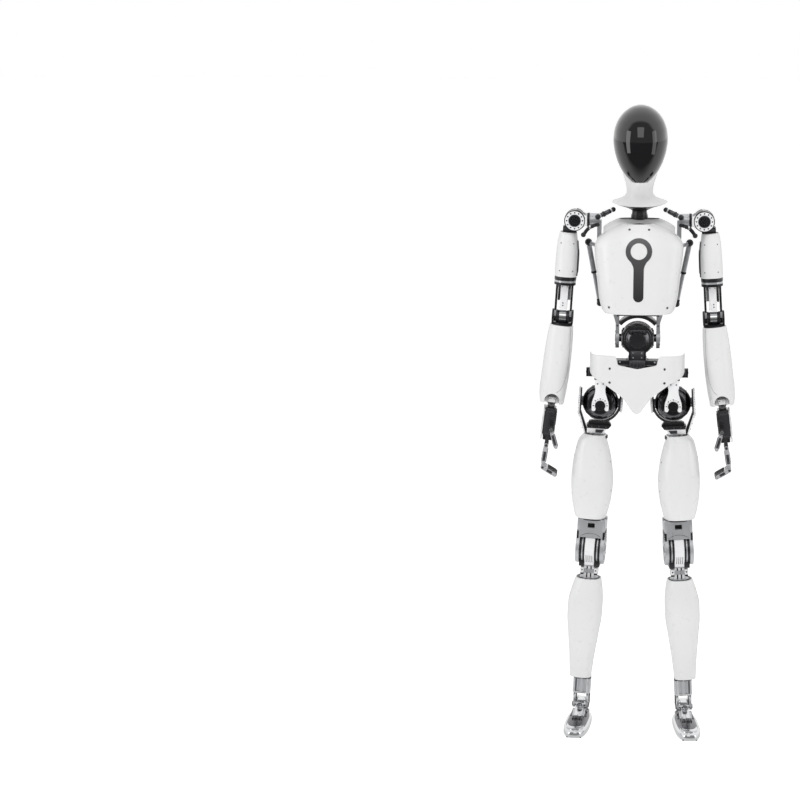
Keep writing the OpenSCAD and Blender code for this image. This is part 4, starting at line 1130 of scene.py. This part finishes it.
def build_hand(side):
    end = "_" + side
    palm = Piece("palm_details" + end, "palm" + end, "dark_plastic", place("arm", side, move(0, 0,
            -WRIST_DROP)))
    back = [(-24, -20), (-25.5, -60), (-23, -94), (-18, -99), (22, -99), (25, -94), (26, -60), (24, -20),
            (16, -12),
            (-16, -12)]
    palm.plate(soften(back, 5, 6), 14.6, 17.8, COATED, plane="yz", edge=0.9)
    for y, z in ((-16, -22), (17, -22), (-17, -88), (18, -88)):
        palm.screw((17.8, y, z), 1.5, STEEL, axis="x", height=0.5)
    for y in (-12.5, 0.5, 13.5):
        palm.block((17.2, y - 1.2, -80), (18.6, y + 1.2, -36), STEEL, edge=0.4)
    pad = [(-21, -20), (-23, -58), (-6, -84), (-6, -97), (23, -97), (24, -58), (21, -20)]
    palm.plate(soften(pad, 5, 6), -16.2, -13.2, MOULDED, plane="yz", edge=0.9)
    for k in range(5):
        palm.block((-17.0, -12 + k * 0.5, -30 - 7 * k), (-15.6, 18, -27.5 - 7 * k), RUBBER, edge=0.5)
    for y0, y1 in ((-26.6, -25.4), (26.4, 27.6)):
        palm.plate(soften([(-10, -22), (-11, -62), (-8, -82), (8, -82), (11, -62), (10, -22)], 3, 4), y0,
                y1, STEEL,
                   edge=0.4)
    palm.block((-13.5, -25.5, -20), (13.8, 26.5, -14.5), GUNMETAL, edge=1)
    palm.disc(0, 6.2, -21.9, -21.2, CHROME, "y", count=40)
    for s in (-1, 1):
        palm.disc(0, 4.6, 0, 0.8, STEEL, "y" if s > 0 else "-y", (0, s * 21.4, 0), 0.3, 40)
    palm.done()

    def finger_bits(name, body, ys, tip):
        for_tip = turn("Y", -2) @ move(0, 0, -58) @ turn("Y", 68) if tip else turn("Y", -2)
        bits = Piece(name, body, "polished", place("arm", side))
        for y in ys:
            own = move(0, y, -KNUCKLE_DROP) @ for_tip
            if tip:
                bits.block((-6.0, -4.6, -35), (-4.6, 4.6, -12), RUBBER, edge=0.6, matrix=own)
                bits.disc(4.4, 5.3, -4.9, 4.9, RUBBER, "y", (0, 0, -36.4), 0.5, 40, matrix=own)
                bits.block((4.7, -3.8, -30), (5.7, 3.8, -12), STEEL, edge=0.4, matrix=own)
                for s in (-1, 1):
                    bits.disc(0, 3.2, 0, 0.35, STEEL, "y" if s > 0 else "-y", (0, s * 5.45, 0), 0.1, 28,
                            matrix=own)
                    bits.block((-3.4, s * 5.5 - 0.25, -28), (3.4, s * 5.5 + 0.25, -13), STEEL, edge=0.2,
                            matrix=own)
            else:
                bits.block((-6.6, -4.4, -43), (-5.2, 4.4, -15), RUBBER, edge=0.6, matrix=own)
                bits.block((5.2, -4.0, -42), (6.4, 4.0, -14), CHROME, edge=0.5, matrix=own)
                for k in range(3):
                    bits.block((6.0, -3.0, -38 + 9 * k), (6.8, 3.0, -36.2 + 9 * k), STEEL, edge=0.25,
                            matrix=own)
                for s in (-1, 1):
                    bits.disc(0, 3.6, 0, 0.45, STEEL, "y" if s > 0 else "-y", (0, s * 5.5, 0), 0.1, 28,
                            matrix=own)
                    bits.block((-3.6, s * 5.5 - 0.3, -41), (3.6, s * 5.5 + 0.3, -16), STEEL, edge=0.25,
                            matrix=own)
        bits.done()

    finger_bits("index_details" + end, "index_proximal" + end, (-19.5,), False)
    finger_bits("index_tip_details" + end, "index_distal" + end, (-19.5,), True)
    finger_bits("finger_details" + end, "fingers_proximal" + end, (-2.5, 10.5, 23.5), False)
    finger_bits("finger_tip_details" + end, "fingers_distal" + end, (-2.5, 10.5, 23.5), True)

    thumb = Piece("thumb_base_details" + end, "thumb_base" + end, "dark_plastic", place("thumb", side))
    thumb.disc(0, 6.3, -21.6, -2.4, DRIVE, count=48, edge=0.8)
    thumb.block((-5.8, -12.8, -19.6), (5.8, -2, -4), DRIVE, edge=1)
    for s in (-1, 1):
        thumb.disc(0, 4, 0, 0.6, CHROME, "y" if s > 0 else "-y", (0, -6 + s * 6.4, -28), 0.2, 32)
    thumb.done()
    tip = Piece("thumb_tip_details" + end, "thumb_tip" + end, "polished",
                place("thumb", side, move(0, -6, -28) @ turn("Y", 22)))
    tip.block((-6.2, -4.4, -45), (-4.6, 4.4, -14), RUBBER, edge=0.6)
    tip.block((4.7, -3.6, -43), (5.8, 3.6, -14), STEEL, edge=0.4)
    for s in (-1, 1):
        tip.block((-3.4, s * 5.5 - 0.25, -42), (3.4, s * 5.5 + 0.25, -14), STEEL, edge=0.2)
    tip.done()


# ---------------------------------------------------------------- hips, legs and feet

def build_leg(side):
    end = "_" + side
    cage = Piece("hip_cage_details" + end, "hip_cage" + end, "dark_drive", place("hip", side))
    for s in (-1, 1):
        axis = "y" if s > 0 else "-y"
        flange = [(12, 36), (23.6, 36), (24.3, 37), (24.3, 57.2), (22.6, 58), (20.4, 58), (20.4, 57.4),
                (17.6, 57.4),
                  (17.6, 58), (14.6, 58), (14.2, 57.4), (12, 57.4)]
        # the wide collar stays open where the yoke swings past
        cage.plate(arc_band(24, 31.8, -28, 208, 56), min(s * 35.5, s * 40.8), max(s * 35.5, s * 40.8),
                DRIVE, edge=0.9)
        cage.plate(arc_band(26, 29.4, -20, 200, 56), min(s * 40, s * 42), max(s * 40, s * 42), SATIN,
                edge=0.5)
        cage.lathe(flange, DRIVE, axis, count=96)
        hub = [(0, 64.4), (12.8, 64.4), (12.8, 65.0), (12.0, 65.8), (9.6, 65.8), (9.6, 65.3), (8.4, 65.3),
               (8.4, 66.0), (0, 66.0)]
        cage.lathe(hub, DRIVE, axis, count=72)
        # painted shade: four dark hole plugs in the hub
        for k in range(4):
            a = math.radians(90 * k)
            cage.disc(0, 2.3, 65.6, 66.3, SHADE_GAP, axis, (3.4 * math.sin(a), 0, 3.4 * math.cos(a)), 0.1, 24)
        for k in range(9):
            a = math.radians(22.5 * k)
            cage.screw((30.6 * math.cos(a), s * 40.6, 30.6 * math.sin(a)), 0.9, STEEL, axis=axis,
                    height=0.8)
    # ribs on both sides of the ball, then the bright lower arcs
    for a in [*range(40, 141, 20), *range(220, 321, 20)]:
        cage.plate(arc_band(44.6, 46.7, -38, 38, 16), -1.0, 1.0, DRIVE, plane="xy", edge=0.3,
                   matrix=turn("Y", a))
    cage.plate(arc_band(41.5, 44.8, 236, 304, 40), -17, -11, CHROME, edge=0.6)
    cage.plate(arc_band(41.5, 44.8, 236, 304, 40), 11, 17, CHROME, edge=0.6)
    cage.plate(arc_band(43.8, 46.9, 100, 172, 40), -24, -19, GUNMETAL, edge=0.6)
    cage.plate(arc_band(43.8, 46.9, 8, 80, 40), -24, -19, GUNMETAL, edge=0.6)
    cage.done()

    yoke = Piece("hip_yoke_body" + end, "hip_yoke" + end, "white_metal", place("hip", side))
    yoke.disc(0, 12, -56, 56, STEEL, "x", count=64)
    for s in (-1, 1):
        axis = "x" if s > 0 else "-x"
        r = 34 if s > 0 else 22
        yoke.disc(12, r, 48.2, 52.2, DRIVE, axis, count=96, edge=0.5)
        face = [(12, 51.8), (r + 1.2, 51.8), (r + 1.8, 52.6), (r + 1.8, 55.0), (r + 0.6, 56.0), (r - 6.5,
                56.0),
                (r - 6.5, 55.2), (r - 8.5, 55.2), (r - 8.5, 56.2), (15, 56.2), (15, 55.0), (12, 55.0)]
        yoke.lathe(face, COATED, axis, count=96)
        yoke.lathe([(0, 55), (11.6, 55), (11.6, 56.0), (10, 56.8), (6.5, 56.8), (6.5, 56.2), (4.6, 56.2),
                (4.6, 57), (0, 57)],
                   GUNMETAL, axis, count=64)
        for k in range(12):
            a = math.radians(30 * k)
            yoke.screw((s * 56.0, (r - 3) * math.sin(a), (r - 3) * math.cos(a)), 1.5, STEEL, axis=axis,
                    height=0.6)
        # painted shade: a ring of small dark marks round the face ring
        for k in range(36):
            a = math.radians(10 * k)
            yoke.block((s * 54 - 0.8, (r + 1.5) * math.sin(a) - 0.6, (r + 1.5) * math.cos(a) - 0.6),
                       (s * 54 + 0.8, (r + 1.5) * math.sin(a) + 0.6, (r + 1.5) * math.cos(a) + 0.6), SHADE_GAP,
                           edge=0)
    # outer white strap with its dark lining, from the disc down to the thigh
    yoke.plate([(55.8, -14), (52.2, -14), (51.4, -27), (33.6, -79.5), (38.2, -79.5), (55.2, -28)], -15,
            15, COATED,
               edge=0.9)
    yoke.plate([(52.0, -14), (48.4, -14), (48.2, -25), (26.6, -79.5), (33.4, -79.5), (51.2, -27)], -12.5,
            12.5, DRIVE,
               edge=0.7)
    for z, x in ((-40, 52.4), (-56, 47.2), (-70, 42.6)):
        yoke.screw((x, 0, z), 1.8, STEEL, height=0.8, matrix=aim((0, 0, 0), (0, 0, 1), (0, 0, 1)), axis="x")
    # inner cradle, black block and white flare
    yoke.plate(arc_band(47.6, 51.6, 186, 262, 40), -11.5, 11.5, GUNMETAL, edge=0.8)
    yoke.plate(arc_band(51.4, 53.2, 196, 250, 30), -8, 8, DRIVE, edge=0.5)
    yoke.plate([(19.6, -47.4), (-24, -47.4), (-31, -56), (-31, -58), (28, -58), (27, -50)], -11, 11,
            SATIN, edge=0.8)
    yoke.plate([(-31.6, -57.5), (-24, -67), (29, -67), (32, -57.5)], -18, 18, SATIN, edge=0.9)
    yoke.plate([(30, -66.5), (-21.5, -66.5), (-17, -73), (-13.4, -79.6), (30, -79.6)], -17, 17, COATED,
            edge=1.1)
    for y in (-18.4, 18.4):
        for x in (-18, 0, 18):
            yoke.screw((x, y, -62.4), 1.9, STEEL, axis="-y" if y < 0 else "y", height=0.7)
        yoke.plate([(8, -69), (-14, -69), (-9, -77.5), (8, -77.5)], min(y, y * 0.9), max(y, y * 0.9),
                STEEL, edge=0.4)
    yoke.disc(0, 14, -96, -79, CHROME, count=72)
    yoke.done("hip_yoke" + end)

    thigh = Piece("thigh_cover" + end, "thigh" + end, "white_shell", place("leg", side), smooth=40)
    thigh.loops(shell_loops(THIGH, WALL, rows=84, around=128, rim=0.9, seams=((14, 0.4, 0.7), (166, 0.4,
            0.7))), WHITE,
                closed=True)
    for z, a in ((-150, 196), (-225, 196), (-140, 344), (-240, 344), (-140, 100), (-250, 100)):
        surface_screw(thigh, THIGH, z, a, 1.5)
    thigh.done("thigh_shell" + end)

    knee = Piece("knee_fork_details" + end, "thigh" + end, "light_frame", place("leg", side))
    knee.disc(17.2, 24.5, -93, -84.5, DRIVE, count=96, edge=0.8)
    knee.disc(20, 38, -303.5, -301, SATIN, count=96, edge=0.8)
    # painted shade: a dark plate in the window at the fork's front
    knee.block((-8.8, -22.5, -323.8), (8.8, -20.2, -312.2), SHADE_GAP, edge=0.2)
    for y in (-1, 1):
        axis = "y" if y > 0 else "-y"
        for x in (-5.5, 5.5):
            knee.screw((x, y * 30, -306.5), 2.0, STEEL, axis=axis, height=0.5)
        knee.plate([(-35.4, -302), (-35.4, -331), (-29, -331), (-29, -308), (29, -308), (29, -331), (35.4,
                -331),
                    (35.4, -302)], y * 30 - 0.8, y * 30 + 0.8, ALLOY, edge=0.5)
        # painted shade: dark arcs under the fork's arch
        knee.plate(arc_points(0, -KNEE_DROP, 43.5, 128, 52, 24) + arc_points(0, -KNEE_DROP, 41.6, 52, 128,
                24), y * 24 - 6, y * 24 + 6,
                   SHADE_GAP, edge=0.3)
    for s in (-1, 1):
        axis = "x" if s > 0 else "-x"
        face = [(10, -0.5), (41.2, -0.5), (41.2, 0.6), (40.2, 1.2), (36.4, 1.2), (36.4, 0.4), (34.0, 0.4),
                (34.0, 1.4),
                (22, 1.4), (22, 0.4), (19.6, 0.4), (19.6, 1.6), (11, 1.6), (10, 1.0)]
        knee.lathe(face, ALLOY, axis, (s * 35, 0, -KNEE_DROP), 96)
        knee.lathe([(0, 0.5), (9.6, 0.5), (9.6, 1.4), (8.4, 2.2), (4.6, 2.2), (4.6, 1.2), (0, 1.2)],
                GUNMETAL, axis,
                   (s * 35, 0, -KNEE_DROP), 48)
        for k in range(10):
            a = math.radians(36 * k)
            knee.screw((s * 36.2, 28 * math.cos(a), -KNEE_DROP + 28 * math.sin(a)), 2.0, STEEL, axis=axis,
                    height=0.8)
        # painted shade: a dark ring in the gap beside the knee face
        knee.disc(30, 40.6, 26.6, 27.4, SHADE_GAP, axis, (0, 0, -KNEE_DROP), 0.2, 96)
        for k in range(5):
            knee.block((s * 35.6 - 0.9, -26, -336 - 5 * k), (s * 35.6 + 0.9, 26, -333.5 - 5 * k), DRIVE,
                    edge=0.4)
        knee.block((s * 33.2 - 2.4, -30.7, -372), (s * 33.2 + 2.4, -28.8, -334), DRIVE, edge=0.4)
    knee.done()

    shin = Piece("shin_details" + end, "shin" + end, "light_frame", place("leg", side))
    shin.lathe([(30, -12.3), (39.9, -12.3), (40.7, -11.4), (40.7, 11.4), (39.9, 12.3), (30, 12.3)],
            COATED, "x",
               (0, 0, -KNEE_DROP), 128)
    # painted shade: dark grooves across the knee ring
    for x in (-7.5, -2.5, 2.5, 7.5):
        shin.plate(arc_points(0, -KNEE_DROP, 41.1, 200, 262, 24) + arc_points(0, -KNEE_DROP, 40.2, 262,
                200, 24), x - 0.6, x + 0.6, SHADE_GAP,
                   plane="yz", edge=0.1)
    for s in (-1, 1):
        axis = "x" if s > 0 else "-x"
        sleeve = [(20, 12.5), (37.4, 12.5), (37.8, 13.4), (37.8, 17.4), (36.9, 17.8), (36.9, 20.6), (37.8,
                21), (37.8, 24.6),
                  (36.8, 26), (20, 26)]
        shin.lathe(sleeve, DRIVE, axis, (0, 0, -KNEE_DROP), 96)
        shin.block((s * 19.4 - 7.0, -20.9, -428), (s * 19.4 + 7.0, 20.9, -402), SATIN, edge=1.2)
        shin.block((s * 17.8 - 4.6, -15.6, -446.6), (s * 17.8 + 4.6, 15.6, -432), COATED, edge=1)
        shin.block((s * 17.8 - 4.0, -14.8, -451), (s * 17.8 + 4.0, 14.8, -446.2), SATIN, edge=0.9)
        for y in (-15.6, 15.6):
            shin.screw((s * 17.8, y, -439), 2.0, STEEL, axis="y" if y > 0 else "-y", height=0.6)
    shin.block((-12, -21.2, -424), (12, 21.2, -402), COATED, edge=1.2)
    for x in (-10, 0, 10):
        shin.block((x - 3.3, -12.6, -459.6), (x + 3.3, 12.6, -423), COATED, edge=0.8)
    # painted shade: a dark block in the recess between the three ribs
    shin.block((-9.5, -8, -459), (9.5, 8, -424), SHADE_GAP, edge=0.5)
    shin.disc(18, 30.5, -466, -459.5, DRIVE, count=96, edge=1)
    for k in range(10):
        a = math.radians(36 * k)
        shin.screw((25 * math.cos(a), 25 * math.sin(a), -459.5), 1.6, STEEL, axis="z", height=0.8)
    # bright collar under the shin cover and clamp above the ankle
    shin.plate(capsule(10, 13.4), -729, -723.5, GUNMETAL, plane="xy", edge=0.7)
    shin.plate(capsule(10, 13.3), -767.4, -762, CHROME, plane="xy", edge=0.7)
    for x, finish in ((-14.5, CHROME), (0, ALLOY), (14.5, STEEL)):
        shin.disc(0, 2.3, -764, -727, finish, "z", (x, -11.6, 0), 0.3, 24)
    for s in (-1, 1):
        axis = "x" if s > 0 else "-x"
        shin.disc(4.8, 9.4, 0, 0.9, CHROME, axis, (s * 19, 0, -ANKLE_DROP), 0.3, 48)
        shin.disc(0, 6.4, 0.4, 3.0, SATIN, axis, (s * 19, 0, -ANKLE_DROP), 0.8, 40)
        shin.plate([(s * 14, -768), (s * 19.4, -768), (s * 19.4, -789), (s * 17.6, -795), (s * 15.2,
                -789), (s * 13.6, -776)]
                   if s > 0 else [(-14, -768), (-13.6, -776), (-15.2, -789), (-17.6, -795), (-19.4, -789),
                           (-19.4, -768)],
                   -9.9, -8.6, CHROME, edge=0.4)
    shin.done()

    lower = Piece("shin_cover" + end, "shin" + end, "white_shell", place("leg", side), smooth=40)
    lower.loops(shell_loops(SHIN, WALL, rows=90, around=128, rim=0.9, seams=((16, 0.4, 0.7), (164, 0.4,
            0.7))), WHITE,
                closed=True)
    for z, a in ((-480, 205), (-480, 335), (-700, 215), (-700, 325), (-690, 60), (-690, 120)):
        surface_screw(lower, SHIN, z, a, 1.4)
    cover = lower.done("shin_shell" + end)
    cut_away(cover, (-24, 18, -672), (24, 70, -565), place("leg", side))
    soft_edges(cover, 0.6, 50)

    foot_frame = place("foot", side, move(0, 0, -45))
    foot = Piece("foot_body" + end, "foot" + end, "polished", foot_frame, smooth=40)
    squeezed = [(z, cx, cy, rx, ry * 0.997, e) for z, cx, cy, rx, ry, e in FOOT]
    at = smooth_columns(squeezed)
    zs = [0, 0.5, 1.6, 3, 4.2, 4.8, 5.6, 6.2, 8, 10, 12, 14, 16, 17.5, 19]
    loops = []
    for z in zs:
        cut = {0: 1.4, 0.5: 0.5, 4.8: 0.9, 5.6: 0.9, 17.5: 1.0, 19: 3.0}.get(z, 0.0)
        loops.append([ring_point(at(z), z, 360 * k / 160, cut) for k in range(160)])
    foot.loops(loops, CHROME)
    upper = [[ring_point(at(z), z, 360 * k / 160, 4.5 + cut) for k in range(160)]
             for z, cut in ((15, 0), (19.5, 0), (21, 0.6), (23, 0.8), (25, 1.0), (27, 1.0), (28.4, 1.2),
                     (29.5, 2.4))]
    foot.loops(upper, GUNMETAL)
    # toe plate, ribbed comb and bright tongue up to the ankle
    toe = [(p[0], p[1]) for p in arc_points(0, -128, 22, 180, 360, 28)] + [(22, -106), (12, -98), (-12,
            -98), (-22, -106)]
    foot.plate(toe, 18.5, 22.4, CHROME, plane="xy", edge=0.9)
    for k in range(6):
        foot.block((-13 + 4.6 * k, -82, 22), (-10 + 4.6 * k, -62, 30.5), DRIVE if k % 2 else STEEL,
                edge=0.6)
    foot.block((-15.5, -85, 21), (15.5, -60, 26), GUNMETAL, edge=1)
    foot.plate([(-20, 44.5), (-23, 47.5), (-29, 47), (-42, 40), (-60, 31), (-60, 26), (-20, 26)], -10.5,
            10.5, CHROME,
               plane="yz", edge=1.4)
    foot.plate([(-24, 26), (-30, 41), (-52, 31.5), (-56, 26)], -15.5, 15.5, ALLOY, plane="yz", edge=1.0)
    # painted shade: dark plugs for two holes on the tongue
    for x in (-6, 6):
        foot.dot((x, -24.5, 47.4), 1.7, "z")
    for s in (-1, 1):
        foot.block((s * 17 - 5, -54, 20), (s * 17 + 5, 16, 29), GUNMETAL, edge=2.2)
        for y in (-44, -14, 8):
            foot.screw((s * 17, y, 29), 2.0, STEEL, axis="z", height=0.7)
        foot.block((-9.4, s * 15 - 3.3, 24), (9.4, s * 15 + 3.3, 37), STEEL, edge=0.9)
        foot.disc(4.1, 9, s * 15 - 3, s * 15 + 3, CHROME, "y", (0, 0, 45), 0.6, 64)
        foot.block((-8.8, s * 15 - 2.9, 30), (8.8, s * 15 + 2.9, 39.5), CHROME, edge=0.5)
        foot.disc(5.2, 8.4, 0, 0.8, STEEL, "y" if s > 0 else "-y", (0, s * 18, 45), 0.3, 48)
    foot.block((-17, 20, 19), (17, 36, 27), GUNMETAL, edge=2.4)
    for k in range(5):
        foot.block((-14, 22 + 2.8 * k, 26), (14, 23.4 + 2.8 * k, 28), STEEL, edge=0.4)
    foot.done("foot" + end)
    tread = Piece("foot_tread" + end, "foot" + end, "dark_plastic", foot_frame)
    for y0, y1 in ((-160, -118), (8, 34)):
        for k in range(4):
            a = lerp(y0, y1, (k + 0.5) / 4)
            tread.block((-19, a - 2.6, 0.0), (19, a + 2.6, 1.6), RUBBER, edge=0.3)
    tread.done()


# ---------------------------------------------------------------- build

build_head()
build_torso()
build_waist()
build_pelvis()
for side_name in ("l", "r"):
    build_arm(side_name)
    build_leg(side_name)

# the CAD nodes that stay get their finish; their meshes are left alone
slots = {row["node"]: row["material_slot"] for row in frame["record"]["subparts"]}
NODE_FINISH = {"hip_cage": GUNMETAL, "forearm_frame": DRIVE, "waist_drive": GUNMETAL,
        "shoulder_drive": DRIVE,
               "index_proximal": SILVER, "index_distal": SILVER, "fingers_proximal": SILVER,
               "fingers_distal": SILVER, "thumb_tip": SILVER}
for name, node in frame["nodes"].items():
    base = name[:-2] if name[-2:] in ("_l", "_r") else name
    finish = NODE_FINISH.get(base, SLOT_FINISH[slots[name]])
    if not node.material_slots:
        node.data.materials.append(finish)
    for entry in node.material_slots:
        entry.link = "OBJECT"
        entry.material = finish

# ---------------------------------------------------------------- floor, light and camera

floor_mesh = bpy.data.meshes.new("floor")
reach = 40.0
floor_mesh.from_pydata([(-reach, -reach, 0), (reach, -reach, 0), (reach, reach, 0), (-reach, reach, 0)], [],
                       [(0, 1, 2, 3)])
floor = bpy.data.objects.new("floor", floor_mesh)
scene.collection.objects.link(floor)
paper = bpy.data.materials.new("studio_floor")
paper.use_nodes = True
tree = paper.node_tree
tree.nodes.clear()
out = node_of(tree, "ShaderNodeOutputMaterial")
matt = node_of(tree, "ShaderNodeBsdfDiffuse", Roughness=0.8)
matt.inputs["Color"].default_value = (0.82, 0.82, 0.82, 1)
glow = node_of(tree, "ShaderNodeEmission", Strength=0.63)
both = node_of(tree, "ShaderNodeAddShader")
tree.links.new(matt.outputs[0], both.inputs[0])
tree.links.new(glow.outputs[0], both.inputs[1])
spot_at = node_of(tree, "ShaderNodeTexCoord")
depth = node_of(tree, "ShaderNodeSeparateXYZ")
tree.links.new(spot_at.outputs["Object"], depth.inputs["Vector"])
# painted reflection: to glossy rays the floor is only a glow, dim towards the camera and brighter further
# back
reflection_falloff = node_of(tree, "ShaderNodeMapRange")
for key, value in (("From Min", -1.6), ("From Max", -0.5), ("To Min", 0.12), ("To Max", 0.7)):
    reflection_falloff.inputs[key].default_value = value
tree.links.new(depth.outputs["Y"], reflection_falloff.inputs["Value"])
floor_reflection_glow = node_of(tree, "ShaderNodeEmission")
tree.links.new(reflection_falloff.outputs["Result"], floor_reflection_glow.inputs["Strength"])
ray = node_of(tree, "ShaderNodeLightPath")
choose = node_of(tree, "ShaderNodeMixShader")
tree.links.new(ray.outputs["Is Glossy Ray"], choose.inputs[0])
tree.links.new(both.outputs[0], choose.inputs[1])
tree.links.new(floor_reflection_glow.outputs[0], choose.inputs[2])
tree.links.new(choose.outputs[0], out.inputs["Surface"])
floor_mesh.materials.append(paper)
floor.location.z = -0.0005


def area(name, spot, target, width, height, power, tone=(1, 1, 1)):
    data = bpy.data.lights.new(name, "AREA")
    data.shape, data.size, data.size_y = "RECTANGLE", width, height
    data.energy, data.color = power, tone
    lamp = bpy.data.objects.new(name, data)
    scene.collection.objects.link(lamp)
    lamp.location = spot
    lamp.rotation_euler = (Vector(target) - Vector(spot)).to_track_quat("-Z", "Y").to_euler()
    return lamp


area("softbox_left", (-2.6, -1.6, 1.7), (0, 0, 0.95), 1.1, 2.6, 15)
area("softbox_right", (2.8, -1.2, 1.6), (0, 0, 0.95), 1.1, 2.6, 9)
area("softbox_top", (0.0, -1.4, 4.0), (0, 0.0, 0.9), 2.4, 1.6, 34).visible_glossy = False
area("softbox_front", (0.0, -4.6, 4.6), (0, 0, 1.2), 2.4, 3.2, 26)

world = bpy.data.worlds.new("studio")
scene.world = world
world.use_nodes = True
tree = world.node_tree
tree.nodes.clear()
out = node_of(tree, "ShaderNodeOutputWorld")
light_path = node_of(tree, "ShaderNodeLightPath")
where = node_of(tree, "ShaderNodeTexCoord")
split = node_of(tree, "ShaderNodeSeparateXYZ")
tree.links.new(where.outputs["Generated"], split.inputs["Vector"])
behind = node_of(tree, "ShaderNodeMapRange")
for key, value in (("From Min", -0.42), ("From Max", -0.25), ("To Min", 0.26), ("To Max", 0.95)):
    behind.inputs[key].default_value = value
tree.links.new(split.outputs["Y"], behind.inputs["Value"])
glossy = node_of(tree, "ShaderNodeBackground")
tree.links.new(behind.outputs["Result"], glossy.inputs["Strength"])
soft = node_of(tree, "ShaderNodeBackground", Strength=0.46)
seen = node_of(tree, "ShaderNodeBackground", Strength=1.0)
for background in (glossy, soft, seen):
    background.inputs["Color"].default_value = (1, 1, 1, 1)
mix_gloss = node_of(tree, "ShaderNodeMixShader")
tree.links.new(light_path.outputs["Is Glossy Ray"], mix_gloss.inputs[0])
tree.links.new(soft.outputs[0], mix_gloss.inputs[1])
tree.links.new(glossy.outputs[0], mix_gloss.inputs[2])
mix_seen = node_of(tree, "ShaderNodeMixShader")
tree.links.new(light_path.outputs["Is Camera Ray"], mix_seen.inputs[0])
tree.links.new(mix_gloss.outputs[0], mix_seen.inputs[1])
tree.links.new(seen.outputs[0], mix_seen.inputs[2])
tree.links.new(mix_seen.outputs[0], out.inputs["Surface"])
scene.view_settings.view_transform = "Standard"

camera_data = bpy.data.cameras.new("camera")
camera_data.lens, camera_data.sensor_width = 117.5, 36.0
camera_data.clip_start, camera_data.clip_end = 0.05, 200.0
camera = bpy.data.objects.new("camera", camera_data)
scene.collection.objects.link(camera)
camera.location = (0, AXIS_Y * MM - 6.6, 1.94)
camera.rotation_euler = (math.radians(90 - 9.42), 0, math.radians(5.25))
scene.camera = camera
